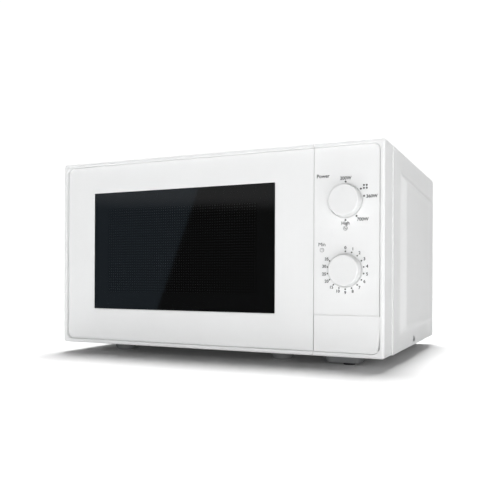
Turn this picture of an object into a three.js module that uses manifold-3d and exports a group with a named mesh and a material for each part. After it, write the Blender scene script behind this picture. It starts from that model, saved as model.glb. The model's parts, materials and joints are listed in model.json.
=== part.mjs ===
// A countertop microwave oven: push-to-open door, two dials, glass turntable, and the magnetron,
// transformer, fan and switches that it needs inside.
// Millimetres, +Z up. In this file x runs to the right from the middle, y runs back from the front
// rim and z runs up from the floor. The last group moves the oven onto its reference point, the
// middle of its footprint.

import * as THREE from 'three';
import { mergeVertices } from 'three/addons/utils/BufferGeometryUtils.js';
import { ConvexGeometry } from 'three/addons/geometries/ConvexGeometry.js';
import Module from 'manifold-3d';

const wasm = await Module();
wasm.setup();

// ---- Driving dimensions -------------------------------------------------------------------

const WIDTH = 440; // front frame, side to side
const HEIGHT = 255; // floor to the top of the frame
const FOOT = 14; // floor to the lower edge of the frame
const FRAME_DEPTH = 40; // front rim to the front plate
const CASE_BACK = 330; // front rim to the rear edge of the case
const STANDOFF_BACK = 336; // front rim to the rear spacers
const KNOB_PROUD = 8; // dials stand in front of the rim

const RIM = 5.5; // width of the raised rim around the front
const FACE = 3; // the face lies this far behind the rim
const WALL = 2.5; // moulded plastic wall
const SHEET = 1; // pressed steel sheet
const PRESSING = 3.2; // height of the raised panels on the sides of the case
const GAP = 0.4; // running gap between neighbouring pieces

const SEAM = 138; // right edge of the door
const PANEL_LEFT = 139; // left edge of the control panel
const DOOR_BACK = 38.7; // rear plane of the door

const HALF = WIDTH / 2;
const FACE_BACK = FACE + WALL;
const LIP = 1.4; // thickness of the frame in front of the window pane
const PLATE_BACK = FRAME_DEPTH + 1.2;

// Window opening in the door, seen from the front.
const WINDOW = { left: -171.5, right: 90.2, low: 60.3, high: 214 };

// Inside of the cooking cavity.
const CAVITY = { left: -194, right: 112, low: 36, high: 236, front: 41.6, back: 324 };
const CAVITY_X = (CAVITY.left + CAVITY.right) / 2;
const CAVITY_Y = (CAVITY.front + CAVITY.back) / 2;

// Door hinge line, parallel to Z.
const HINGE = { x: -209, y: 26.5, pin: 2.5, bore: 2.8 };
const HINGE_TRIM = 13.2; // rear left edge of the door stays inside this radius
const HINGE_ARMS = [[21, 23], [246, 248]]; // heights of the lower and the upper arm

// Latch hooks in the door.
const HOOK = { left: 124, right: 130, tip: 58, lift: 4 };
const HOOK_BASES = [50, 210];
const HOOK_TALL = 10;

// Dials on the control panel.
const DIAL_X = 175.5;
const POWER_Z = 188.2;
const TIMER_Z = 110.8;
const SHAFT_R = 3;

// Door release button.
const BUTTON = { left: 140.5, right: 214.4, low: 20.1, high: 59.4, corner: 8 };
const LEVER = { y: 46, z: 47 };

// Turntable.
const TRAY_R = 127.5;
const TRAY_Z = 51.4;
const ROLLER_R = 7.3;
const ROLLER_Z = CAVITY.low + 0.3 + ROLLER_R;
const ROLLER_TRACK = 106;

// Electrical compartment, right of the cavity.
const BASE_TOP = 16.6;
const FAN = { x: 165, z: 145, r: 42 };
const MAGNETRON = { left: 117, right: 212, front: 200, back: 280, low: 100, high: 188 };

// Film opening in the choke cover, inside the steel land.
const FILM = { left: -176, right: 94, low: 51, high: 219 };

// Feed window between the wave guide and the cavity, on the right wall of the cavity.
const FEED = { front: 205, back: 275, low: 193, high: 223 };

// Screws of the case, on its sides and at its rear.
const SIDE_SCREW = { y: 170, z: 22.5 };
const REAR_SCREWS = [[-212, 235], [212, 235]];

// Stamped feet of the base: [x, y, radius at the plate, radius at the floor].
const STAMPED_FEET = [[-164, 66, 17, 11], [77, 64, 17, 11], [-164, 290, 17, 11],
  [164, 290, 17, 11]];
const RUBBER_FOOT = { x: 168, y: 48 };

// Inlet of the mains lead: its hole in the rear panel and the bore of its grommet.
const CORD = { x: 190, z: 62, hole: 7.5, bore: 4.2 };

// ---- Solids --------------------------------------------------------------------------------

// Turns a closed three.js geometry into a solid that can be joined and cut.
function solidOf(geometry) {
  const bare = geometry.clone();
  bare.deleteAttribute('normal');
  bare.deleteAttribute('uv');
  const merged = mergeVertices(bare, 1e-4);
  const corners = merged.index.array;
  const kept = [];
  for (let i = 0; i < corners.length; i += 3) {
    const [a, b, c] = corners.slice(i, i + 3);
    if (a !== b && b !== c && c !== a) {
      kept.push(a, b, c);
    }
  }
  return new wasm.Manifold(new wasm.Mesh({
    numProp: 3,
    vertProperties: merged.attributes.position.array,
    triVerts: new Uint32Array(kept),
  }));
}

function box(x0, x1, y0, y1, z0, z1) {
  const geometry = new THREE.BoxGeometry(x1 - x0, y1 - y0, z1 - z0);
  geometry.translate((x0 + x1) / 2, (y0 + y1) / 2, (z0 + z1) / 2);
  return solidOf(geometry);
}

// A round bar or cone along one axis; u and v place it on the other two, in x, y, z order.
function rod(axis, from, to, u, v, startRadius, sides = 16, endRadius = startRadius) {
  const geometry = new THREE.CylinderGeometry(endRadius, startRadius, to - from, sides);
  const middle = (from + to) / 2;
  if (axis === 'x') {
    geometry.rotateZ(-Math.PI / 2);
    geometry.translate(middle, u, v);
  } else if (axis === 'y') {
    geometry.translate(u, middle, v);
  } else {
    geometry.rotateX(Math.PI / 2);
    geometry.translate(u, v, middle);
  }
  return solidOf(geometry);
}

// A rectangle with rounded corners; radii run lower left, lower right, upper right, upper left.
function roundedShape(u0, v0, u1, v1, radii) {
  const [a, b, c, d] = radii;
  const shape = new THREE.Shape();
  shape.moveTo(u0 + a, v0);
  const corners = [[u1 - b, v0 + b, b], [u1 - c, v1 - c, c], [u0 + d, v1 - d, d], [u0 + a, v0 + a, a]];
  corners.forEach(([u, v, r], i) => {
    const start = (i - 1) * Math.PI / 2;
    if (r > 0) {
      shape.absarc(u, v, r, start, start + Math.PI / 2, false);
    } else {
      shape.lineTo(u, v);
    }
  });
  shape.closePath();
  return shape;
}

const AXES = {
  x: new THREE.Matrix4().makeBasis(
    new THREE.Vector3(0, 1, 0), new THREE.Vector3(0, 0, 1), new THREE.Vector3(1, 0, 0)),
  y: new THREE.Matrix4().makeBasis(
    new THREE.Vector3(1, 0, 0), new THREE.Vector3(0, 0, 1), new THREE.Vector3(0, -1, 0)),
  z: new THREE.Matrix4(),
};

// A flat shape pushed along one axis; the shape is drawn on the other two, in x, y, z order.
function push(axis, shape, from, to, curveSegments = 2) {
  const options = { depth: to - from, bevelEnabled: false, curveSegments };
  const geometry = new THREE.ExtrudeGeometry(shape, options);
  geometry.applyMatrix4(AXES[axis]);
  const start = { x: [from, 0, 0], y: [0, to, 0], z: [0, 0, from] }[axis];
  geometry.translate(...start);
  return solidOf(geometry);
}

// A turned piece: profile points are [radius, height], from the lower end of the axis to the upper.
function turned(axis, profile, u, v, sides = 32) {
  const points = profile.map(([r, h]) => new THREE.Vector2(r, h));
  const geometry = new THREE.LatheGeometry(points, sides);
  if (axis === 'z') {
    geometry.rotateX(Math.PI / 2);
    geometry.translate(u, v, 0);
  } else {
    geometry.translate(u, 0, v);
  }
  return solidOf(geometry);
}

// A coil spring of round wire along an axis, with its ends left open.
function spring(axis, from, to, u, v, radius, wire, turns) {
  const perTurn = 8;
  const steps = perTurn * turns;
  const points = [];
  for (let i = 0; i <= steps; i += 1) {
    const angle = i / perTurn * 2 * Math.PI;
    const along = from + wire + (to - from - 2 * wire) * i / steps;
    const across = [u + radius * Math.cos(angle), v + radius * Math.sin(angle)];
    points.push(axis === 'z'
      ? new THREE.Vector3(across[0], across[1], along)
      : new THREE.Vector3(across[0], along, across[1]));
  }
  const section = new THREE.Shape(new THREE.Path().absarc(0, 0, wire, 0, 2 * Math.PI).getPoints(3));
  const path = new THREE.CatmullRomCurve3(points);
  return solidOf(new THREE.ExtrudeGeometry(section, { steps, extrudePath: path, bevelEnabled: false }));
}

function join(...solids) {
  return solids.reduce((whole, next) => whole.add(next));
}

function cut(whole, ...tools) {
  return tools.reduce((rest, tool) => rest.subtract(tool), whole);
}

// ---- Front: door and control panel shells ---------------------------------------------------

// Outer shell of one half of the front. It is a rimmed face with a hollow back; the rim runs on
// every edge but the one at the seam, and seamSide says which side that is: 1 right, -1 left.
function frontShell(left, right, back, seamSide) {
  const corner = 3;
  const inner = 8.5;
  const low = FOOT;
  const high = HEIGHT;
  const outerRadii = seamSide > 0 ? [corner, 0, 0, corner] : [0, corner, corner, 0];
  const innerRadii = seamSide > 0 ? [inner, 0, 0, inner] : [0, inner, inner, 0];
  const body = push('y', roundedShape(left, low, right, high, outerRadii), 0, back);
  const faceLeft = seamSide > 0 ? left + RIM : left - 1;
  const faceRight = seamSide > 0 ? right + 1 : right - RIM;
  const face = roundedShape(faceLeft, low + RIM, faceRight, high - RIM, innerRadii);
  const hollow = box(left + WALL, right - WALL, FACE_BACK, back + 1, low + WALL, high - WALL);
  return cut(body, push('y', face, -1, FACE, 3), hollow);
}

// Everything of the door that would strike the front plate as the door turns on its hinge line.
function hingeTrim() {
  const corner = box(-HALF - 5, HINGE.x, HINGE.y, FRAME_DEPTH + 20, 0, HEIGHT + 5);
  return cut(corner, rod('z', -1, HEIGHT + 6, HINGE.x, HINGE.y, HINGE_TRIM, 40));
}

// Two blocks inside the door hold each hinge pin, one on each side of the fixed arm.
function hingeBlocks() {
  const heights = [[FOOT + 1, 19.6], [24.4, 33], [236, 244.6], [249.4, HEIGHT - 1]];
  const blocks = heights.map(([z0, z1]) => box(-214, -204, FACE + 1, 33, z0, z1));
  return join(...blocks);
}

function doorFrame() {
  const notches = HINGE_ARMS.map(([z0, z1]) => box(-HALF - 1, -201, 16, DOOR_BACK + 1, z0 - 1, z1 + 1));
  const bores = [[17, 34], [235, 252.2]].map(([z0, z1]) =>
    rod('z', z0, z1, HINGE.x, HINGE.y, HINGE.bore, 16));
  const opening = box(WINDOW.left, WINDOW.right, 0, FACE_BACK + 1, WINDOW.low, WINDOW.high);
  const shell = join(frontShell(-HALF, SEAM, DOOR_BACK, 1), hingeBlocks());
  return cut(shell, opening, paneSpace(GAP, FACE + LIP, FACE_BACK + 1), hingeTrim(), ...notches, ...bores);
}

// Space of the window pane, which overlaps the opening all round; extra widens it.
function paneSpace(extra, y0, y1) {
  const margin = 12.5 + extra;
  return box(WINDOW.left - margin, WINDOW.right + margin, y0, y1, WINDOW.low - margin, WINDOW.high + margin);
}

// Smoked pane, seated in a rebate behind the window opening.
function doorWindow() {
  return paneSpace(0, FACE + LIP + 0.3, FACE + LIP + 3.3);
}

// Pressed steel door pan: a flat screen at the rear with a choke channel folded around it.
function doorScreen() {
  const outer = [-200, 120, 27, 242];
  const inner = [-186, 106, 41, 228];
  const front = 14;
  const back = 35;
  const wallBack = 33;
  const block = box(outer[0], outer[1], front, wallBack, outer[2], outer[3]);
  const land = box(inner[0], inner[1], front, back, inner[2], inner[3]);
  const channel = cut(
    box(outer[0] + SHEET, outer[1] - SHEET, front + SHEET, back + 1, outer[2] + SHEET, outer[3] - SHEET),
    land);
  const dish = box(inner[0] + SHEET, inner[1] - SHEET, front - 1, back - SHEET,
    inner[2] + SHEET, inner[3] - SHEET);
  return cut(join(block, land), channel, dish);
}

// Plastic ring that closes the choke channel and the back of the door.
function chokeCover() {
  const front = 35.3;
  const ring = box(-HALF + WALL + GAP, SEAM - WALL - GAP, front, DOOR_BACK,
    FOOT + WALL + GAP, HEIGHT - WALL - GAP);
  const opening = box(FILM.left, FILM.right, front - 1, DOOR_BACK + 1, FILM.low, FILM.high);
  const corners = [box(-HALF, -200.5, front - 1, DOOR_BACK + 1, FOOT, 24.4),
    box(-HALF, -200.5, front - 1, DOOR_BACK + 1, 244.6, HEIGHT)];
  const slots = HOOK_BASES.map((z) =>
    box(HOOK.left - 3, HOOK.right + 3, front - 1, DOOR_BACK + 1, z - 4, z + HOOK_TALL + HOOK.lift + 4));
  return cut(ring, opening, hingeTrim(), ...corners, ...slots);
}

function doorFilm() {
  return box(FILM.left + GAP, FILM.right - GAP, 35.4, 36.2, FILM.low + GAP, FILM.high - GAP);
}

function hingePin(z0, z1) {
  return rod('z', z0, z1, HINGE.x, HINGE.y, HINGE.pin, 16);
}

// Sliding bar with two hooks that reach through the front plate into the interlock.
function latchHooks() {
  const bar = box(HOOK.left, HOOK.right, 28, 33, 46, 224);
  const hooks = HOOK_BASES.map((z) => {
    const arm = box(HOOK.left, HOOK.right, 30, HOOK.tip, z + 3, z + HOOK_TALL);
    const nose = box(HOOK.left, HOOK.right, HOOK.tip - 7, HOOK.tip, z, z + 4);
    return join(arm, nose);
  });
  return join(bar, ...hooks);
}

// Apertures of the control panel: the button and the two dial shafts.
function controlPanel() {
  const edge = 0.4;
  const button = roundedShape(BUTTON.left - edge, BUTTON.low - edge, BUTTON.right + edge,
    BUTTON.high + edge, [0, BUTTON.corner, 0, 0]);
  const bores = [POWER_Z, TIMER_Z].map((z) => rod('y', 0, FACE_BACK + 1, DIAL_X, z, 7.5, 24));
  const shell = frontShell(PANEL_LEFT, HALF, FRAME_DEPTH - 0.3, -1);
  const thinWall = box(PANEL_LEFT + 1, PANEL_LEFT + 4, FACE_BACK, FRAME_DEPTH, FOOT + WALL, 64);
  return cut(shell, push('y', button, -1, FACE_BACK + 1, 3), thinWall, ...bores);
}

// ---- Dials ----------------------------------------------------------------------------------

// A dial: a plain, slightly tapered drum with a softened front edge and a bore for its shaft.
function dial(z) {
  const back = FACE - GAP;
  const front = -KNOB_PROUD;
  const profile = [[0, front], [16, front], [17.2, front + 1.2], [18.2, back - 2], [18.6, back], [0, back]];
  const drum = turned('y', profile, DIAL_X, z, 40);
  return cut(drum, rod('y', -6, back + 1, DIAL_X, z, SHAFT_R + 0.3, 16));
}

function shaft(z) {
  return rod('y', -5.5, 33, DIAL_X, z, SHAFT_R, 16);
}

// Clockwork timer and power selector in one housing behind the panel.
function timerUnit() {
  const body = box(149, 203, 12, 37.6, 90, 210);
  const bushes = [POWER_Z, TIMER_Z].map((z) => rod('y', 6.2, 13, DIAL_X, z, 6, 20));
  const bell = rod('y', 14, 34, 158, 84, 14, 20);
  const bores = [POWER_Z, TIMER_Z].map((z) => rod('y', 5, 34, DIAL_X, z, SHAFT_R + 0.4, 16));
  const terminals = [0, 1, 2, 3].map((i) => box(202, 209, 24, 25, 112 + 20 * i, 118 + 20 * i));
  return cut(join(body, bell, ...bushes, ...terminals), ...bores);
}

// ---- Door release ---------------------------------------------------------------------------

function releaseButton() {
  const shape = roundedShape(BUTTON.left, BUTTON.low, BUTTON.right, BUTTON.high, [0, BUTTON.corner, 0, 0]);
  const hollow = box(BUTTON.left + 2, BUTTON.right - 2, FACE_BACK, 23, BUTTON.low + 2, BUTTON.high - 2);
  const skirt = cut(push('y', shape, FACE, 22, 3), hollow);
  const stem = box(142.6, 148, FACE_BACK - 1, 43.9, 31.5, 34.5);
  const post = rod('y', FACE_BACK - 1, 26, 185, 38, 3, 16);
  return join(skirt, stem, post);
}

// Rocker that turns the push on the button into a lift under the lower hook.
function releaseLever() {
  const axle = rod('x', 123.5, 149.6, LEVER.y, LEVER.z, 3, 16);
  const pin = rod('x', 149, 152, LEVER.y, LEVER.z, 1.5, 12);
  const lift = box(123.5, 131, LEVER.y, 57, LEVER.z - 1, LEVER.z + 2.3);
  const foot = box(141.5, 149.6, LEVER.y - 1.2, LEVER.y + 1.8, 24, LEVER.z);
  return join(axle, pin, lift, foot);
}

// ---- Steel work -----------------------------------------------------------------------------

function frontPlate() {
  const edge = HALF - 1.6;
  const outline = roundedShape(-edge, FOOT + 1.6, edge, HEIGHT - 2, [1, 1, 7, 7]);
  const plate = push('y', outline, FRAME_DEPTH, PLATE_BACK);
  const y0 = FRAME_DEPTH - 1;
  const y1 = PLATE_BACK + 1;
  const mouth = roundedShape(CAVITY.left, CAVITY.low, CAVITY.right, CAVITY.high, [4, 4, 4, 4]);
  const opening = push('y', mouth, y0, y1);
  const arms = HINGE_ARMS.map(([z0, z1]) => box(-216.5, -201.5, y0, y1, z0 - 0.4, z1 + 0.4));
  const hooks = HOOK_BASES.map((z) =>
    box(HOOK.left - 3, HOOK.right + 3, y0, y1, z - 4, z + HOOK_TALL + HOOK.lift + 4));
  const stem = box(141, 149.6, y0, y1, 28.5, 37.5);
  const wires = rod('y', y0, y1, 195, 230, 8, 16);
  return cut(plate, opening, stem, wires, ...arms, ...hooks);
}

function cavityBox() {
  const { left, right, low, high, front, back } = CAVITY;
  const s = SHEET;
  const outline = roundedShape(left - s, low - s, right + s, high + s, [5, 5, 5, 5]);
  const outer = push('y', outline, front, back + s);
  const inner = push('y', roundedShape(left, low, right, high, [4, 4, 4, 4]), front - 1, back);
  const feed = box(right - 1, right + 3, FEED.front, FEED.back, FEED.low, FEED.high);
  const lamp = rod('x', right - 1, right + 3, 105, 210, 9, 20);
  const drive = rod('z', low - 3, low + 1, CAVITY_X, CAVITY_Y, 8, 20);
  const airHoles = [0, 1, 2, 3].map((i) => box(right - 1, right + 3, 92 + 9 * i, 97 + 9 * i, 120, 160));
  return cut(outer, inner, feed, lamp, drive, ...airHoles);
}

// Raised panel pressed into each side of the case. It stands PRESSING proud of the sheet; the solid
// runs from foot to crown, both measured from the middle of the oven.
function sidePressing(side, foot, crown) {
  const slope = (crown - foot) / PRESSING;
  const outline = [[99, 42.5, 20, 7], [299, 42.5, 7, 7], [299, 214.5, 7, 7], [99, 221, 20, 7]];
  const points = [];
  outline.forEach(([y, z, spreadY, spreadZ]) => {
    const outY = y < 200 ? -1 : 1;
    const outZ = z < 100 ? -1 : 1;
    points.push(new THREE.Vector3(side * crown, y, z));
    points.push(new THREE.Vector3(side * foot, y + outY * spreadY * slope, z + outZ * spreadZ * slope));
  });
  return solidOf(new ConvexGeometry(points));
}

// Folded sheet that wraps the top and both sides, with lips at the rear and under the base.
function outerCase() {
  const low = 14.2;
  const high = HEIGHT - 0.5;
  const front = FRAME_DEPTH + 0.6;
  const s = SHEET;
  const wrap = push('y', roundedShape(-HALF, low, HALF, high, [1, 1, 8, 8]), front, CASE_BACK, 3);
  const inside = push('y', roundedShape(-HALF + s, low + 0.8, HALF - s, high - s, [0.5, 0.5, 7, 7]),
    front - 1, CASE_BACK - s, 3);
  const under = box(-HALF + 11, HALF - 11, front - 1, CASE_BACK + 1, low - 1, low + 2);
  const behind = box(-HALF + 14, HALF - 14, CASE_BACK - 2, CASE_BACK + 1, low - 1, high - 14);
  const shell = cut(wrap, inside, under, behind);
  const crown = HALF + PRESSING;
  const raised = [1, -1].map((side) => sidePressing(side, HALF - s / 2, crown));
  const hollows = [1, -1].map((side) => sidePressing(side, HALF - 2, crown - s));
  const pressed = cut(join(shell, ...raised), ...hollows);
  const sideHoles = [1, -1].map((side) => {
    const x = side * HALF;
    return rod('x', x - 3, x + 3, SIDE_SCREW.y, SIDE_SCREW.z, 1.9, 12);
  });
  const rearHoles = REAR_SCREWS.map(([x, z]) => rod('y', CASE_BACK - 3, CASE_BACK + 1, x, z, 1.9, 12));
  return cut(pressed, ...sideHoles, ...rearHoles);
}

function basePlate() {
  const edge = HALF - 1.6;
  const low = BASE_TOP - 1.2;
  const front = PLATE_BACK + GAP;
  const back = 326;
  const between = box(-edge + 1.2, edge - 1.2, front - 1, back + 1, BASE_TOP, 33);
  const tray = cut(box(-edge, edge, front, back, low, 32), between);
  const feet = STAMPED_FEET.map(([x, y, wide, narrow]) => rod('z', 0, low + 0.1, x, y, narrow, 24, wide));
  const hollows = STAMPED_FEET.map(([x, y, wide, narrow]) =>
    rod('z', 1.2, BASE_TOP + 0.1, x, y, narrow - 1, 24, wide - 1));
  const boss = stampedBoss(0);
  const bossHollow = stampedBoss(1.2);
  const stem = rod('z', -1, 10, RUBBER_FOOT.x, RUBBER_FOOT.y, 3.3, 16);
  const vents = [0, 1, 2, 3, 4, 5].map((i) =>
    box(125 + 14 * i, 130 + 14 * i, 205, 255, low - 1, BASE_TOP + 1));
  const holes = [1, -1].map((side) =>
    rod('x', side * HALF - 5, side * HALF + 5, SIDE_SCREW.y, SIDE_SCREW.z, 1.9, 12));
  return cut(join(tray, boss, ...feet), bossHollow, stem, ...hollows, ...vents, ...holes);
}

// Long stamped boss at the front right that carries the rubber foot; inset gives its hollow.
function stampedBoss(inset) {
  const top = BASE_TOP - 1.1 + inset;
  const low = 1.6 + inset;
  const points = [];
  [[low, 0], [top, 7]].forEach(([z, spread]) => {
    const grow = spread - inset;
    const front = Math.max(40 - spread / 2 + inset, PLATE_BACK + GAP + inset);
    [140 - grow, 182 + grow].forEach((x) => {
      points.push(new THREE.Vector3(x, front, z));
      points.push(new THREE.Vector3(x, 62 + grow, z));
    });
  });
  return solidOf(new ConvexGeometry(points));
}

function rubberFoot() {
  const { x, y } = RUBBER_FOOT;
  const pad = rod('z', 0, 1.2, x, y, 6.5, 20, 7);
  const barb = rod('z', 3.2, 6, x, y, 4.6, 16, 3.2);
  return join(pad, rod('z', 1, 6, x, y, 3, 16), barb);
}

function rearPanel() {
  const edge = HALF - 1.8;
  const plate = push('y', roundedShape(-edge, 17, edge, HEIGHT - 2.2, [1, 1, 6, 6]), 327, 328);
  const spacers = [[-150, 218], [150, 218], [-150, 42], [120, 42]];
  const bumps = spacers.map(([x, z]) => rod('y', 327.9, STANDOFF_BACK, x, z, 14, 16, 9));
  const hollows = spacers.map(([x, z]) => rod('y', 326.9, STANDOFF_BACK - SHEET, x, z, 13.4, 16, 8));
  const vents = [];
  for (let i = -4; i <= 4; i += 1) {
    const tall = Math.sqrt(FAN.r ** 2 - (9 * i) ** 2);
    vents.push(box(FAN.x + 9 * i - 2, FAN.x + 9 * i + 2, 326, 329, FAN.z - tall, FAN.z + tall));
  }
  const screws = REAR_SCREWS.map(([x, z]) => rod('y', 326, 329, x, z, 1.9, 12));
  const inlet = rod('y', 326, 329, CORD.x, CORD.z, CORD.hole, 20);
  return cut(join(plate, ...bumps), inlet, ...hollows, ...vents, ...screws);
}

// Grommet in the rear panel that the mains lead passes through.
function cordInlet() {
  const { x, z, hole, bore } = CORD;
  const body = join(rod('y', 322, 332, x, z, hole - 0.4, 20), rod('y', 328.3, 331, x, z, hole + 3, 24),
    rod('y', 323, 326.6, x, z, hole + 1.5, 24, hole + 2));
  return cut(body, rod('y', 321, 333, x, z, bore, 20));
}

function screw(axis, head, tip, u, v) {
  const into = Math.sign(tip - head);
  const seat = head + into * 2.2;
  const ends = (a, b) => [Math.min(a, b), Math.max(a, b)];
  const thread = rod(axis, ...ends(seat - into * 0.1, tip), u, v, 1.5, 12);
  return join(rod(axis, ...ends(head, seat), u, v, 4, 16), thread);
}

// A fixed hinge bracket: a tab behind the front plate and an arm that reaches into the door.
function hingeBracket(z0, z1, tabLow, tabHigh) {
  const r = 7;
  const shape = new THREE.Shape();
  shape.absarc(HINGE.x, HINGE.y, r, Math.PI, 2 * Math.PI, false);
  shape.lineTo(HINGE.x + r, PLATE_BACK + 2);
  shape.lineTo(HINGE.x - r, PLATE_BACK + 2);
  shape.closePath();
  const arm = push('z', shape, z0, z1, 5);
  const tab = box(HINGE.x - r, HINGE.x + r, PLATE_BACK + GAP, PLATE_BACK + 2, tabLow, tabHigh);
  return cut(join(arm, tab), rod('z', z0 - 1, z1 + 1, HINGE.x, HINGE.y, HINGE.bore, 16));
}

// ---- Microwave source -----------------------------------------------------------------------

function waveguide() {
  const s = 1;
  const { left, right, front, back, high } = MAGNETRON;
  const x0 = CAVITY.right + SHEET + GAP;
  const z0 = high + 1;
  const body = cut(box(x0, right, front - 5, back + 5, z0, z0 + 38),
    box(x0 - 1, right - s, front - 4, back + 4, z0 + s, z0 + 37));
  return cut(body, rod('z', z0 - 1, z0 + 2, (left + right) / 2 + 10, (front + back) / 2, 13, 24));
}

function waveguideCover() {
  const margin = 5;
  return box(CAVITY.right - 1.4, CAVITY.right - 0.5, FEED.front - margin, FEED.back + margin,
    FEED.low - margin, FEED.high + margin);
}

const ANTENNA = { x: (MAGNETRON.left + MAGNETRON.right) / 2 + 10, y: (MAGNETRON.front + MAGNETRON.back) / 2 };

function magnetronYoke() {
  const { left, right, front, back, low, high } = MAGNETRON;
  const z0 = low + 26;
  const gap = box(left + 2, right - 2, front - 1, back + 1, z0 + 2, high - 2);
  const frame = cut(box(left, right, front, back, z0, high), gap);
  const bores = rod('z', z0 - 1, high + 1, ANTENNA.x, ANTENNA.y, 21, 24);
  return cut(frame, bores);
}

// Anode with its cooling fins, and the antenna that reaches into the wave guide.
function magnetronFins() {
  const { left, right, front, back, low, high } = MAGNETRON;
  const z0 = low + 26;
  const { x, y } = ANTENNA;
  const anode = rod('z', z0 - 4, high + 0.5, x, y, 18, 12);
  const antenna = rod('z', high, high + 22, x, y, 8, 12);
  const fins = [];
  for (let z = z0 + 9; z < high - 6; z += 8) {
    fins.push(box(left + 3, right - 3, front + 3, back - 3, z, z + 0.8));
  }
  return join(anode, antenna, ...fins);
}

function magnetronFilterBox() {
  const { left, right, front, back, low } = MAGNETRON;
  const top = low + 25;
  const body = box(left + 5, right - 5, front + 8, back - 8, low, top);
  const well = rod('z', top - 4.5, top + 1, ANTENNA.x, ANTENNA.y, 21, 24);
  const plug = join(box(left + 25, left + 47, front + 1, front + 9, low + 5, low + 20),
    box(left + 30, left + 32, front - 6, front + 2, low + 11, low + 14),
    box(left + 40, left + 42, front - 6, front + 2, low + 11, low + 14));
  return cut(join(body, plug), well);
}

// ---- High-voltage supply --------------------------------------------------------------------

const CORE = { left: 132, right: 192, front: 95, back: 191, low: 17, high: 83, leg: 16 };

function transformerCore() {
  const { left, right, front, back, low, high, leg } = CORE;
  const windows = [front + leg, back - 2 * leg].map((y) =>
    box(left - 1, right + 1, y, y + leg, low + leg, high - leg));
  const feet = box(left - 6, right + 6, front + 4, front + 14, low, low + 2);
  return cut(join(box(left, right, front, back, low, high), feet), ...windows);
}

// A winding around the middle leg of the core, between two heights.
function winding(z0, z1) {
  const { left, right, front, back, leg } = CORE;
  const inner = [left - 0.4, front + 2 * leg - 0.4, right + 0.4, back - 2 * leg + 0.4];
  const build = leg - 2;
  const outer = roundedShape(inner[0] - build, inner[1] - build, inner[2] + build, inner[3] + build, [9, 9, 9, 9]);
  const core = box(inner[0], inner[2], inner[1], inner[3], z0 - 1, z1 + 1);
  return cut(push('z', outer, z0, z1, 2), core);
}

const CAN = { left: 166, right: 214, front: 46, back: 80, low: 17, high: 112 };

function capacitor() {
  const { left, right, front, back, low, high } = CAN;
  const r = (back - front) / 2 - 0.01;
  const can = push('z', roundedShape(left, front, right, back, [r, r, r, r]), low, high, 4);
  const rim = push('z', roundedShape(left - 1, front - 1, right + 1, back + 1, [r, r, r, r]), high - 4, high - 2, 4);
  const tabs = [181, 199].map((x) => box(x - 3, x + 3, 62.6, 63.4, high - 1, high + 10));
  return join(can, rim, ...tabs);
}

function capacitorClamp() {
  const { left, right, front, back } = CAN;
  const r = (back - front) / 2;
  const t = 1;
  const strap = cut(
    push('z', roundedShape(left - t - 0.4, front - t - 0.4, right + t + 0.4, back + t + 0.4, [r, r, r, r]), 60, 72, 4),
    push('z', roundedShape(left - 0.4, front - 0.4, right + 0.4, back + 0.4, [r, r, r, r]), 59, 73, 4));
  const leg = box(184, 196, back + 0.6, back + 1.6, 17, 72);
  const toe = box(184, 196, back + 0.6, back + 9, 17, 18.2);
  return join(strap, leg, toe);
}

function highVoltageDiode() {
  const body = rod('z', 62, 84, 204, 88, 3.5, 16);
  const lug = join(box(203.4, 204.6, 86, 90, 84, 94), box(203.4, 204.6, 86, 90, 52, 62));
  return join(body, lug);
}

// ---- Cooling and lighting -------------------------------------------------------------------

function fanHousing() {
  const plate = box(117, 213, 301, 303, 97, 193);
  const collar = rod('y', 288, 303, FAN.x, FAN.z, FAN.r + 5, 36);
  const throat = rod('y', 287, 304, FAN.x, FAN.z, FAN.r + 3, 36);
  const posts = [[-30, -40], [30, -40], [-30, 40], [30, 40]].map(([x, z]) =>
    rod('y', 302, 309, FAN.x + x, FAN.z + z, 2.5, 10));
  const lip = box(117, 213, 286, 303, 97, 99);
  return cut(join(plate, collar, lip, ...posts), throat);
}

function fanMotor() {
  const y0 = 309.4;
  const stack = cut(box(FAN.x - 30, FAN.x + 30, y0, y0 + 13, FAN.z - 26, FAN.z + 26),
    box(FAN.x - 16, FAN.x + 16, y0 - 1, y0 + 14, FAN.z - 20, FAN.z - 11));
  const coil = box(FAN.x - 13, FAN.x + 13, y0 - 5, y0 + 16, FAN.z - 36, FAN.z - 20.5);
  const bearings = rod('y', y0 - 5, y0 + 17, FAN.x, FAN.z, 9, 20);
  const ears = [[-30, -40], [30, -40], [-30, 40], [30, 40]].map(([x, z]) =>
    box(FAN.x + x - 3, FAN.x + x + 3, y0, y0 + 1.5, Math.min(FAN.z, FAN.z + z + 3), Math.max(FAN.z, FAN.z + z + 3)));
  return cut(join(stack, coil, bearings, ...ears), rod('y', y0 - 6, y0 + 14, FAN.x, FAN.z, 2.2, 16));
}

// Five twisted blades on a hub, with the rotor's shaft.
function fanBlade() {
  const hub = join(rod('y', 289, 301, FAN.x, FAN.z, 10, 20), rod('y', 300, 322, FAN.x, FAN.z, 1.7, 12));
  const blades = [];
  for (let i = 0; i < 5; i += 1) {
    const blade = new THREE.BoxGeometry(FAN.r - 8, 1.2, 22);
    blade.translate((FAN.r + 8) / 2, 0, 0);
    blade.rotateX(0.42);
    blade.rotateY(i * 2 * Math.PI / 5);
    blade.translate(FAN.x, 295, FAN.z);
    blades.push(solidOf(blade));
  }
  const sweep = rod('y', 280, 320, FAN.x, FAN.z, FAN.r, 36);
  return join(hub, ...blades).intersect(sweep);
}

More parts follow.
